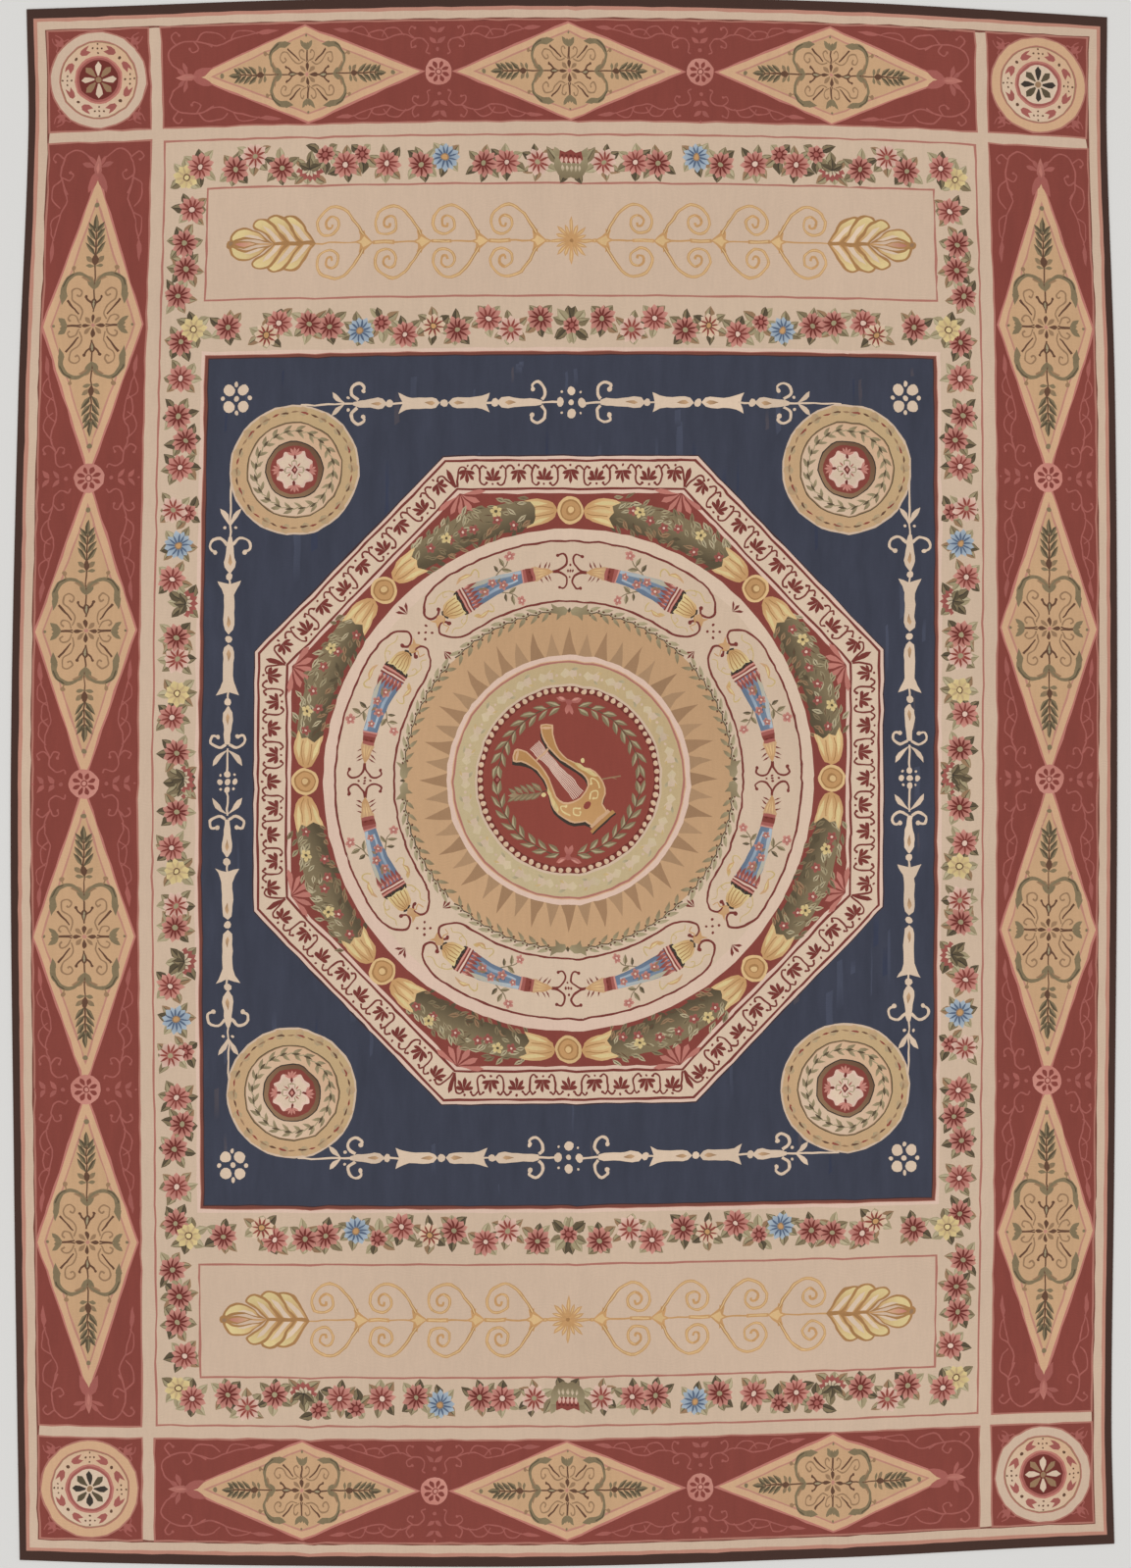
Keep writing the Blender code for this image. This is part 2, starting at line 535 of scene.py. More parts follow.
@dataclass
class Diamond:
    """Diamond with its bands and arabesque; its long way runs along Y."""

    half_long: float
    half_wide: float
    bands: tuple[tuple[float, Yarn], ...] = (
        (0.0, Yarn.ROSE_PALE), (1.9, Yarn.PEACH), (8.2, Yarn.SALMON), (9.9, Yarn.TAN))

    def draw(self, c: Cartoon) -> None:
        """Draw the diamond about the middle.

        Args:
            c: The cartoon.
        """
        depth = self.half_long * self.half_wide / math.hypot(self.half_long, self.half_wide)
        for inset, yarn in self.bands:
            share = 1.0 - inset / depth
            a, b = self.half_wide * share, self.half_long * share
            c.lay([(a, 0), (0, b), (-a, 0), (0, -b)], yarn, abrash=0.2)
        reach = (self.half_long - 30.0) / 126.0
        cross = self.half_wide / 51.0
        for sy in (-1, 1):
            with c.moved(sx=cross, sy=sy * reach):
                self.half(c)
                for sx in (-1, 1):
                    with c.moved(sx=sx):
                        self.quarter(c)
        squash = min(1.0, cross / reach)
        with c.moved(sy=1.0 if reach > 0.9 else squash * 0.92):
            for k in range(8):
                yarn = Yarn.BARK if k % 2 == 0 else Yarn.UMBER
                with c.moved(turn=45 * k):
                    c.blade(2.4, 0, 0, 9.6, 4.4, yarn, peak=0.62, blunt=0.8)
            c.disc(0, 0, 2.2, Yarn.SALMON, count=7)

    def half(self, c: Cartoon) -> None:
        """Lay what stands on the long axis: bud, stem, collar, frond and end dot.

        Args:
            c: The cartoon.
        """
        c.stroke([(0, 14), (0, 62)], 1.7, Yarn.BARK, 1.4, 1)
        c.blade(0, 14.5, 90, 14, 6.4, Yarn.BARK, peak=0.6)
        c.blade(0, 17, 90, 9, 2.4, Yarn.OLIVE_PALE, peak=0.6)
        for side in (-1, 1):
            with c.moved(sx=side):
                c.curl([(1.2, 22), (5.6, 25.5), (7.6, 29.5)], 2.3, Yarn.BARK, 1.6, 2)
                c.blade(0, 36, 62, 15, 5.6, Yarn.OLIVE, peak=0.5)
                c.blade(0, 44, 20, 14, 6.0, Yarn.UMBER, bend=0.12)
                c.blade(0, 63, 38, 11.5, 5.0, Yarn.UMBER, Yarn.OLIVE, peak=0.6)
                c.blade(0, 60, 8, 8.6, 4.4, Yarn.OLIVE, peak=0.6)
        c.blade(0, 60, 90, 13, 6.4, Yarn.BARK, peak=0.5)
        c.stroke([(0, 66), (0, 108)], 2.0, Yarn.BARK, 1.0, 1)
        for k, foot in enumerate((71, 79, 87, 94)):
            for side in (-1, 1):
                with c.moved(0, foot, sx=side):
                    size = 16.5 - 1.1 * k
                    c.blade(0.5, 0, 56, size, 5.0, Yarn.OLIVE_DARK, sides=2)
                    c.blade(1.2, 0.6, 56, size * 0.9, 4.2, Yarn.OLIVE, half=-1, sides=2)
        c.blade(0, 96, 90, 17, 5.4, Yarn.OLIVE_DARK)
        c.blade(0, 97, 90, 15, 4.4, Yarn.OLIVE, half=1)
        c.disc(0, 122, 2.7, Yarn.OLIVE, count=8)

    def quarter(self, c: Cartoon) -> None:
        """Lay one quarter's scrolls, and half of the sprig on the short axis.

        Args:
            c: The cartoon.
        """
        c.stroke([(1, 43), (8, 50), (17, 52.5), (25, 49), (30, 41), (30.5, 32)], 2.2,
                 Yarn.OLIVE, 6.4, 4)
        c.stroke([(20, 53), (27, 48.5), (31.6, 40)], 1.2, Yarn.OLIVE_DARK, 1.2, 3)
        c.blade(30.2, 36, -84, 15, 7.5, Yarn.OLIVE, peak=0.25)
        c.disc(21.5, 58.5, 2.5, Yarn.UMBER, count=7)
        c.stroke([(20, 53), (21.5, 57)], 1.3, Yarn.UMBER, 1.3, 1)
        c.stroke([(13, 6), (11, 14), (15, 21.5), (21.5, 27), (22, 35), (16.5, 38), (12, 34),
                  (14, 30), (17, 31.5)], 1.5, Yarn.UMBER, 1.9, 4)
        c.stroke([(26.5, 26.5), (20.5, 19.5), (14, 11.5)], 2.4, Yarn.BARK, 1.4, 3)
        c.stroke([(13.5, 3), (17, 9.5), (22.5, 11), (25, 7.4), (22, 4.8)], 1.5, Yarn.UMBER, 1.9, 3)
        c.blade(24.5, 0.6, 38, 13.5, 5.4, Yarn.OLIVE, peak=0.55)
        c.blade(24.5, 0.4, 12, 9.0, 4.0, Yarn.OLIVE, peak=0.6)
        c.stroke([(12, 1.4), (15.6, 0.6), (25, 0.5)], 1.6, Yarn.BARK, 1.2, 1)
        c.disc(39.5, 0, 1.5, Yarn.OLIVE, count=6)


@dataclass
class RedScrolls:
    """Rose tendrils on the red ground, in the gaps beside and between diamonds."""

    width: float = 1.6

    def rosette_side(self, c: Cartoon, reach: float) -> None:
        """Draw a quarter of the gap beside a rosette: X to the border's rim, Y along the border.

        Args:
            c: The cartoon.
            reach: Scale along the border.
        """
        w, yarn = self.width, Yarn.ROSE
        for foot in (29.0, 39.5):
            c.blade(foot, 0.2, 52, 10.5, 4.6, yarn, peak=0.4)
        c.disc(22.5, 0, 2.0, yarn, count=6)
        c.disc(50.0, 0, 1.2, yarn, count=5)
        with c.moved(sy=reach):
            c.stroke([(18, 10.5), (20, 14.5), (24.5, 12.5), (29, 12.5), (33.5, 18), (34.5, 28),
                      (38, 38), (38, 50), (33.5, 62), (35, 76), (39, 90), (43, 104)], w, yarn,
                     w * 0.8, 4)
            c.curl([(34.5, 28), (40, 33.5), (46, 30.5), (44.5, 25.8)], w, yarn, 1.5)
            c.curl([(34.2, 25), (30, 32), (24.8, 31), (25.6, 26.5)], w, yarn, 1.5)
            c.stroke([(34.5, 58), (42, 66), (41.5, 79), (36.5, 84)], w * 0.9, yarn, w * 0.7, 4)
            c.stroke([(37, 40), (45, 49), (44, 61), (36.5, 67)], w * 0.9, yarn, w * 0.7, 4)
            c.stroke([(36.5, 80), (46, 87), (46, 98), (42, 104)], w * 0.8, yarn, w * 0.7, 3)
            c.blade(42.8, 103, 84, 23, 4.6, yarn, peak=0.4)

    def end(self, c: Cartoon, tip: float) -> None:
        """Draw a border's end: X across it, Y outward from the last diamond's tip.

        Args:
            c: The cartoon.
            tip: How far the border's end lies beyond the diamond's tip.
        """
        w, yarn = self.width, Yarn.ROSE
        for side in (-1, 1):
            with c.moved(sx=side):
                c.blade(0, 4, -68, 25, 8.5, Yarn.ROSE, peak=0.45)
                c.blade(1.5, 7, 18, 15, 5.0, yarn, peak=0.6)
                c.blade(1, 8, 52, 13, 4.6, yarn, peak=0.6)
                c.stroke([(6, 14), (14, tip - 8), (24, tip - 4.5), (33, tip - 12), (37, tip - 26),
                          (35, tip - 40), (30, tip - 50)], w, yarn, w, 4)
                c.curl([(33, tip - 14), (41, tip - 8), (46, tip - 12.5), (43, tip - 16.5)], w,
                       yarn, 1.5)
                c.curl([(36.5, tip - 32), (29, tip - 36), (25, tip - 30), (28.6, tip - 27)], w,
                       yarn, 1.5)
                c.stroke([(36, tip - 34), (45, tip - 42), (44, tip - 56), (37.5, tip - 64)], w,
                         yarn, w * 0.8, 4)
                c.stroke([(34.5, tip - 42), (31, tip - 56), (37, tip - 70), (40, tip - 84),
                          (43.5, tip - 98)], w, yarn, w * 0.8, 4)
                c.stroke([(37.5, tip - 70), (45.5, tip - 76), (45, tip - 90), (42, tip - 97)],
                         w * 0.8, yarn, w * 0.7, 3)
                c.blade(43.2, tip - 96, -86, 24, 4.6, yarn, peak=0.4)
        c.blade(0, -4, 90, 24, 8.0, Yarn.ROSE, Yarn.ROSE_PALE, peak=0.4)
        c.blade(0, 0, 90, 12, 3.0, Yarn.ROSE_PALE, peak=0.5)


@dataclass
class Borders:
    """Rows of diamonds in the four red borders."""

    side_x: float = 487.6
    side_pitch: float = 310.4
    side_diamond: Diamond = field(default_factory=lambda: Diamond(156.5, 51.2))
    end_y: float = 714.4
    end_pitch: float = 271.4
    end_diamond: Diamond = field(default_factory=lambda: Diamond(121.5, 50.4))
    rosette: Rosette = field(default_factory=Rosette)
    scrolls: RedScrolls = field(default_factory=RedScrolls)

    def draw(self, c: Cartoon) -> None:
        """Draw the side borders, then the end borders.

        Args:
            c: The cartoon.
        """
        for side in (-1, 1):
            with c.moved(x=side * self.side_x, sx=side):
                self.row(c, 4, self.side_pitch, self.side_diamond, 1.0, 1.0)
                for end in (-1, 1):
                    with c.moved(y=end * (2 * self.side_pitch - 1.5), sy=end):
                        self.scrolls.end(c, 30.0)
        for end in (-1, 1):
            with c.moved(y=end * self.end_y, sx=end, turn=-90 * end):
                self.row(c, 3, self.end_pitch, self.end_diamond, 0.86, 0.93)
                for side in (-1, 1):
                    with c.moved(y=side * (1.5 * self.end_pitch - 19.0), sy=side):
                        self.scrolls.end(c, 31.0)

    def row(self, c: Cartoon, count: int, pitch: float, diamond: Diamond, reach: float,
            rosette: float) -> None:
        """Draw one border's diamonds along Y, with rosettes and tendrils between them.

        Args:
            c: The cartoon.
            count: How many diamonds.
            pitch: From one diamond's middle to the next.
            diamond: The diamond.
            reach: Scale of the tendrils along the border.
            rosette: Scale of the rosettes.
        """
        for k in range(count):
            with c.moved(y=(k - (count - 1) / 2) * pitch):
                diamond.draw(c)
        for k in range(count - 1):
            with c.moved(y=(k + 1 - count / 2) * pitch):
                for sx in (-1, 1):
                    for sy in (-1, 1):
                        with c.moved(sx=sx, sy=sy):
                            self.scrolls.rosette_side(c, reach)
                with c.moved(sx=rosette, sy=rosette):
                    self.rosette.draw(c)


@dataclass(frozen=True)
class Bloom:
    """Colours and make of one kind of flower."""

    petal: Yarn
    tip: Yarn
    streak: Yarn
    eye: Yarn
    eye_ring: Yarn
    petals: int = 11
    radius: float = 14.2


class Kind(Enum):
    """Flowers of the garland."""

    RED = Bloom(Yarn.RED, Yarn.PINK, Yarn.RED_DEEP, Yarn.OLIVE_PALE, Yarn.RED_DEEP)
    ROSE = Bloom(Yarn.ROSE, Yarn.PINK, Yarn.RED, Yarn.PINK_WHITE, Yarn.RED_DEEP)
    PINK = Bloom(Yarn.ROSE_PALE, Yarn.PINK_WHITE, Yarn.BRICK, Yarn.OLIVE_PALE, Yarn.ROSE, 10)
    BLUE = Bloom(Yarn.SKY, Yarn.SKY_PALE, Yarn.SKY_DARK, Yarn.GOLD, Yarn.UMBER, 12, 14.6)
    YELLOW = Bloom(Yarn.STRAW, Yarn.BUTTER, Yarn.TAN_GREEN, Yarn.BUTTER, Yarn.BARK, 9, 13.4)
    ORANGE = Bloom(Yarn.PEACH, Yarn.CREAM_PALE, Yarn.BRICK, Yarn.GOLD, Yarn.BARK, 10, 13.0)
    SMALL = Bloom(Yarn.RED, Yarn.PINK, Yarn.RED_DEEP, Yarn.ROSE, Yarn.RED_DEEP, 8, 9.5)
    BUD = Bloom(Yarn.OLIVE_PALE, Yarn.CREAM_PALE, Yarn.RED, Yarn.OLIVE, Yarn.OLIVE_DARK, 6, 12.0)


# Flowers of a quarter of the garland: place along the line, place across it, and kind. Along the
# end and the cross line they count from the middle of the carpet's width, along the side line
# from the middle of its length; across, they count outward.
END_FLOWERS = (
    (34, 0, Kind.PINK), (66.5, 0, Kind.ROSE), (90, -1, Kind.RED), (130, 6, Kind.BLUE),
    (155, -1.5, Kind.RED), (190, 0, Kind.ROSE), (216, 10, Kind.SMALL), (233, 0, Kind.ROSE),
    (254, 11, Kind.SMALL), (270, -5, Kind.BUD), (299, -3, Kind.RED), (327, 10, Kind.PINK),
    (347, -3, Kind.RED), (397, -9, Kind.YELLOW), (383, 1, Kind.ROSE),
)
CROSS_FLOWERS = (
    (0, 0, Kind.SMALL), (31.5, 7, Kind.RED), (62, -4, Kind.PINK), (85, 7, Kind.ROSE),
    (116.5, -4, Kind.RED), (141, 0, Kind.ORANGE), (170, -8, Kind.ROSE), (194, 4, Kind.SMALL),
    (216, -4, Kind.BLUE), (247, 1, Kind.RED), (268, 4, Kind.RED), (299, 5, Kind.ROSE),
    (312, -7, Kind.ORANGE), (351, 2, Kind.RED), (386, 1, Kind.YELLOW),
)
SIDE_FLOWERS = (
    (3, -7, Kind.BUD), (30, 0, Kind.RED), (66, 5, Kind.ROSE), (90, 0, Kind.YELLOW),
    (125, 0.5, Kind.PINK), (147, 1.5, Kind.RED), (181, -8, Kind.BUD), (206, 7, Kind.ROSE),
    (240, 1, Kind.BLUE), (272, -8, Kind.SMALL), (276, 7, Kind.PINK), (319, 1, Kind.ROSE),
    (346, -4, Kind.RED), (371, 4, Kind.RED), (409, 2, Kind.ROSE), (446, 3, Kind.RED),
    (493, 7, Kind.RED), (520, 0, Kind.RED), (546, 2, Kind.RED), (580, -5, Kind.ROSE),
)


@dataclass
class Garland:
    """Line of flowers and leaves round the cream field, with a cross line near each end."""

    side_x: float = 395.7
    end_y: float = 622.0
    cross_y: float = 457.5
    half_width: float = 20.0
    seed: int = 23

    def draw(self, c: Cartoon) -> None:
        """Draw all four quarters, mirrored, and the calyx in the middle of each end.

        Args:
            c: The cartoon.
        """
        for sx in (-1, 1):
            for sy in (-1, 1):
                with c.moved(sx=sx, sy=sy):
                    self.quarter(c)
        for sy in (-1, 1):
            with c.moved(y=sy * self.end_y, sy=sy):
                self.calyx(c)

    def quarter(self, c: Cartoon) -> None:
        """Draw one quarter: the leaves of all its lines first, then the flowers.

        Args:
            c: The cartoon.
        """
        lines = []
        for along, across, kind in SIDE_FLOWERS:
            lines.append(((self.side_x + across, along), across, kind, 0.0))
        for along, across, kind in CROSS_FLOWERS:
            lines.append(((along, self.cross_y + across), across, kind, 90.0))
        for along, across, kind in END_FLOWERS:
            lines.append(((along, self.end_y + across), across, kind, 90.0))
        rng = random.Random(self.seed)
        for place, across, _, out in lines:
            self.leaves(c, rng, place, across, out)
        for place, _, kind, out in lines:
            if kind is Kind.BUD:
                self.bud(c, place, kind.value, out + 180.0)
            else:
                self.flower(c, rng, place, kind.value)

    def leaves(self, c: Cartoon, rng: random.Random, place: Point, across: float,
               out: float) -> None:
        """Lay the leaves round one flower, kept within the garland's width.

        Args:
            c: The cartoon.
            rng: Source of the leaves' small differences.
            place: The flower's middle.
            across: How far outward the flower stands.
            out: The way that is outward, in degrees.
        """
        for base in (38, 88, 142, 218, 272, 322):
            angle = base + rng.uniform(-15, 15)
            rise = math.sin(math.radians(angle))
            reach = rng.uniform(19.0, 22.5)
            room = self.half_width - across * (1 if rise > 0 else -1)
            if abs(rise) * reach > room:
                reach = room / abs(rise)
            if reach < 13.0:
                continue
            heading = math.radians(out - 90.0 + angle)
            foot = 5.0
            x = place[0] + foot * math.cos(heading)
            y = place[1] + foot * math.sin(heading)
            c.leaf(x, y, math.degrees(heading), reach - foot, rng.uniform(8.4, 10.6),
                   rng.choice(LEAF_TONES), rng.uniform(-0.09, 0.09))

    def flower(self, c: Cartoon, rng: random.Random, place: Point, bloom: Bloom) -> None:
        """Draw one open flower.

        Args:
            c: The cartoon.
            rng: Source of its small differences.
            place: Its middle.
            bloom: Its make.
        """
        with c.moved(place[0], place[1], rng.uniform(0, 360)):
            wide = 2 * math.pi * bloom.radius * 0.66 / bloom.petals
            for k in range(bloom.petals):
                turn = 360.0 * k / bloom.petals + rng.uniform(-4, 4)
                length = bloom.radius * rng.uniform(0.90, 1.08)
                c.blade(0, 0, turn, length, wide * 1.22, bloom.petal, bloom.tip, 0.62, 0.8)
            for k in range(bloom.petals):
                turn = 360.0 * (k + 0.5) / bloom.petals + rng.uniform(-4, 4)
                c.blade(0, 0, turn, bloom.radius * 0.86, wide * 0.42, bloom.streak, peak=0.5,
                        sides=2)
            c.disc(0, 0, 3.9, bloom.eye_ring, count=9)
            c.disc(0, 0, 2.7, bloom.eye, count=8)

    def bud(self, c: Cartoon, place: Point, bloom: Bloom, out: float) -> None:
        """Draw a flower seen from the side: a green cup with a fan of red petals.

        Args:
            c: The cartoon.
            place: Its middle.
            bloom: Its make.
            out: The way that it opens, in degrees.
        """
        with c.moved(place[0], place[1], out):
            for k in range(7):
                turn = -72 + 24 * k
                c.blade(-3, 0, turn, 15.0, 5.2, bloom.streak, Yarn.ROSE, 0.75, 0.7)
            for k in range(6):
                turn = -75 + 30 * k
                c.blade(-4, 0, turn, 11.0, 4.4, bloom.petal, bloom.tip, 0.6)
                c.blade(-4, 0, turn + 12, 9.0, 2.0, bloom.eye_ring, peak=0.6, sides=2)
            for turn in (120, 180, 240):
                c.leaf(0, 0, turn, 13, 8, LEAF_TONES[1])

    def calyx(self, c: Cartoon) -> None:
        """Draw the green cup with a red band in the middle of an end.

        Args:
            c: The cartoon.
        """
        for side in (-1, 1):
            with c.moved(sx=side):
                c.leaf(4, -8, -62, 15, 10, LEAF_TONES[1])
                c.leaf(14, -2, 58, 21, 10, LEAF_TONES[0])
                c.blade(8, -2, 62, 20, 9, Yarn.OLIVE, Yarn.OLIVE_PALE, 0.5)
        c.lay([(-17, 6), (-18, -4), (-13, -13), (-5, -17), (0, -15), (5, -17), (13, -13),
               (18, -4), (17, 6)], Yarn.OLIVE_PALE, Yarn.OLIVE, ((0, 6), (0, -16)))
        c.lay([(-11, 12), (-12, 4), (-8, -1), (8, -1), (12, 4), (11, 12), (6, 10), (0, 12.5),
               (-6, 10)], Yarn.RED)
        for k in range(-2, 3):
            c.blade(4.4 * k, -2, 90, 8, 3.6, Yarn.PINK_WHITE, Yarn.PINK, 0.5, sides=2)
            c.blade(4.4 * k, -3, -90, 7, 3.0, Yarn.CREAM_PALE, Yarn.OLIVE_PALE, 0.4, sides=2)
        for k in range(-2, 3):
            c.disc(4.4 * k, 6.5, 1.5, Yarn.RED_DEEP, count=6)


@dataclass
class ScrollPanels:
    """Gold star, scrolls and end leaves in the cream panel near each end."""

    middle_y: float = 543.0
    first: float = 31.0
    pitch: float = 59.5
    junctions: int = 4
    feather: float = 263.0

    def draw(self, c: Cartoon) -> None:
        """Draw both panels.

        Args:
            c: The cartoon.
        """
        for sy in (-1, 1):
            with c.moved(y=sy * self.middle_y, sy=sy):
                for sx in (-1, 1):
                    with c.moved(sx=sx):
                        self.half(c)
                for k in range(16):
                    length = (24.5, 17.5, 21.0, 17.5)[k % 4]
                    c.blade(0, 0, 22.5 * k, length, 3.9, Yarn.GOLD, peak=0.62, blunt=0.7)
                    with c.moved(turn=22.5 * k):
                        c.blade(length * 0.35, 0, 0, length * 0.55, 1.5, Yarn.GOLD_PALE, peak=0.5,
                                sides=2)
                c.disc(0, 0, 2.0, Yarn.GOLD_DARK, count=8)

    def half(self, c: Cartoon) -> None:
        """Draw the half right of the star.

        Args:
            c: The cartoon.
        """
        c.stroke([(16, 0), (self.feather + 62, 0)], 1.9, Yarn.GOLD, 1.5, 1)
        c.blade(15, 0, 0, 16, 3.6, Yarn.GOLD, peak=0.6)
        c.blade(18, 0, 0, 10, 1.6, Yarn.GOLD_PALE, peak=0.6, sides=2)
        for k in range(self.junctions):
            with c.moved(self.first + k * self.pitch):
                self.junction(c, k + 1 < self.junctions)
                for sy in (-1, 1):
                    with c.moved(sy=sy):
                        self.scroll(c)
        with c.moved(self.feather):
            self.leaf_end(c)

    def junction(self, c: Cartoon, barred: bool) -> None:
        """Lay the arrow-shaped knot, and the thicker bar that leads to the next one.

        Args:
            c: The cartoon.
            barred: Whether a bar leads on to the next one.
        """
        c.lay([(-6.5, 0), (-1, 4.4), (3.6, 8.6), (4.0, 12.2), (6.2, 9.6), (9.4, 10.4), (8.2, 6.4),
               (8.0, 2.4), (14, 0), (8.0, -2.4), (8.2, -6.4), (9.4, -10.4), (6.2, -9.6),
               (4.0, -12.2), (3.6, -8.6), (-1, -4.4)], Yarn.GOLD)
        c.lay([(-4.6, 0), (0, 3), (4.5, 5.4), (6.4, 1.6), (10, 0), (6.4, -1.6), (4.5, -5.4),
               (0, -3)], Yarn.GOLD_PALE)
        if barred:
            c.stroke([(32, 0), (54, 0)], 3.8, Yarn.GOLD, 3.8, 1)
            c.stroke([(34, 0), (52, 0)], 1.5, Yarn.GOLD_PALE, 1.5, 1)

    def scroll(self, c: Cartoon) -> None:
        """Lay one wound scroll that grows from a knot.

        Args:
            c: The cartoon.
        """
        path = [(5.0, 7.5), (12, 19), (21, 30.5), (33, 36.4), (45, 32.2), (52, 21.5), (48.6, 10.4),
                (38.6, 7.6), (30.6, 13.6), (31, 22.4), (37.4, 26), (43, 21.8), (42, 15.8),
                (37.8, 14.8), (36.6, 18.4)]
        c.stroke(path, 3.2, Yarn.GOLD_DARK, 2.4, 3, Yarn.GOLD)
        c.stroke(path[:11], 1.3, Yarn.GOLD_PALE, 0.9, 3)

    def leaf_end(self, c: Cartoon) -> None:
        """Draw the big end leaf: four pairs of rounded lobes and a bud.

        Args:
            c: The cartoon.
        """
        for k in range(4):
            foot = 14.5 * k
            high = (27.5, 28.5, 25.0, 0.0)[k]
            for sy in (-1, 1):
                with c.moved(foot, 0, sy=sy):
                    if k < 3:
                        self.lobe(c, high)
                    else:
                        self.last_lobe(c)
        c.blade(58, 0, 0, 29, 8.6, Yarn.GOLD_DARK, peak=0.6)
        c.blade(62, 0, 0, 21, 4.8, Yarn.PEACH, Yarn.ROSE_PALE, 0.55)
        c.disc(88, 0, 4.2, Yarn.GOLD_DARK, count=9)
        c.disc(87.4, 0.6, 2.2, Yarn.UMBER, count=8)

    def lobe(self, c: Cartoon, high: float) -> None:
        """Lay one slanting lobe: gold rim, cream core, yellow rounded tip.

        Args:
            c: The cartoon.
            high: How far it reaches across.
        """
        s = high / 28.0
        with c.moved(sy=s):
            c.lay(smooth([(0, 0), (6, 9), (12, 20), (18, 26.5), (27, 28.8), (34, 26.6), (36.6, 21),
                          (33, 16.4), (26, 12), (20, 6), (14.5, 0)], 3), Yarn.GOLD_DARK)
            c.lay(smooth([(3.6, 2.4), (9, 9.6), (14.6, 18.6), (20, 24), (27, 26.8), (32.4, 25),
                          (34.4, 21.2), (31, 18), (24.5, 13.6), (18.4, 7.4), (13.4, 1.6)], 3),
                  Yarn.BUTTER, Yarn.GOLD, ((20, 26), (14, 0)))
            c.lay([(5.6, 2.0), (11.6, 9.0), (18.6, 17.0), (25.6, 20.6), (22, 14.4), (16.6, 8.2),
                   (12.4, 2.0)], Yarn.CREAM_PALE)

    def last_lobe(self, c: Cartoon) -> None:
        """Lay the lobe that folds round the bud.

        Args:
            c: The cartoon.
        """
        c.lay(smooth([(0, 0), (10, 7), (17, 13), (28, 17), (38, 15), (44, 8), (44.5, 0), (37, 3.4),
                      (27, 5.6), (14, 3.4)], 3), Yarn.GOLD_DARK)
        c.lay(smooth([(8, 3.4), (13, 8.4), (20, 12.8), (28, 15), (36.4, 13.4), (41.4, 8), (42, 3.4),
                      (36, 6.4), (27, 8), (15, 5)], 3), Yarn.BUTTER, Yarn.GOLD, ((30, 14), (6, 2)))
        c.lay([(9, 3.6), (16, 7.6), (24, 9.6), (31, 8.6), (24, 7), (15, 4.6)], Yarn.CREAM_PALE)


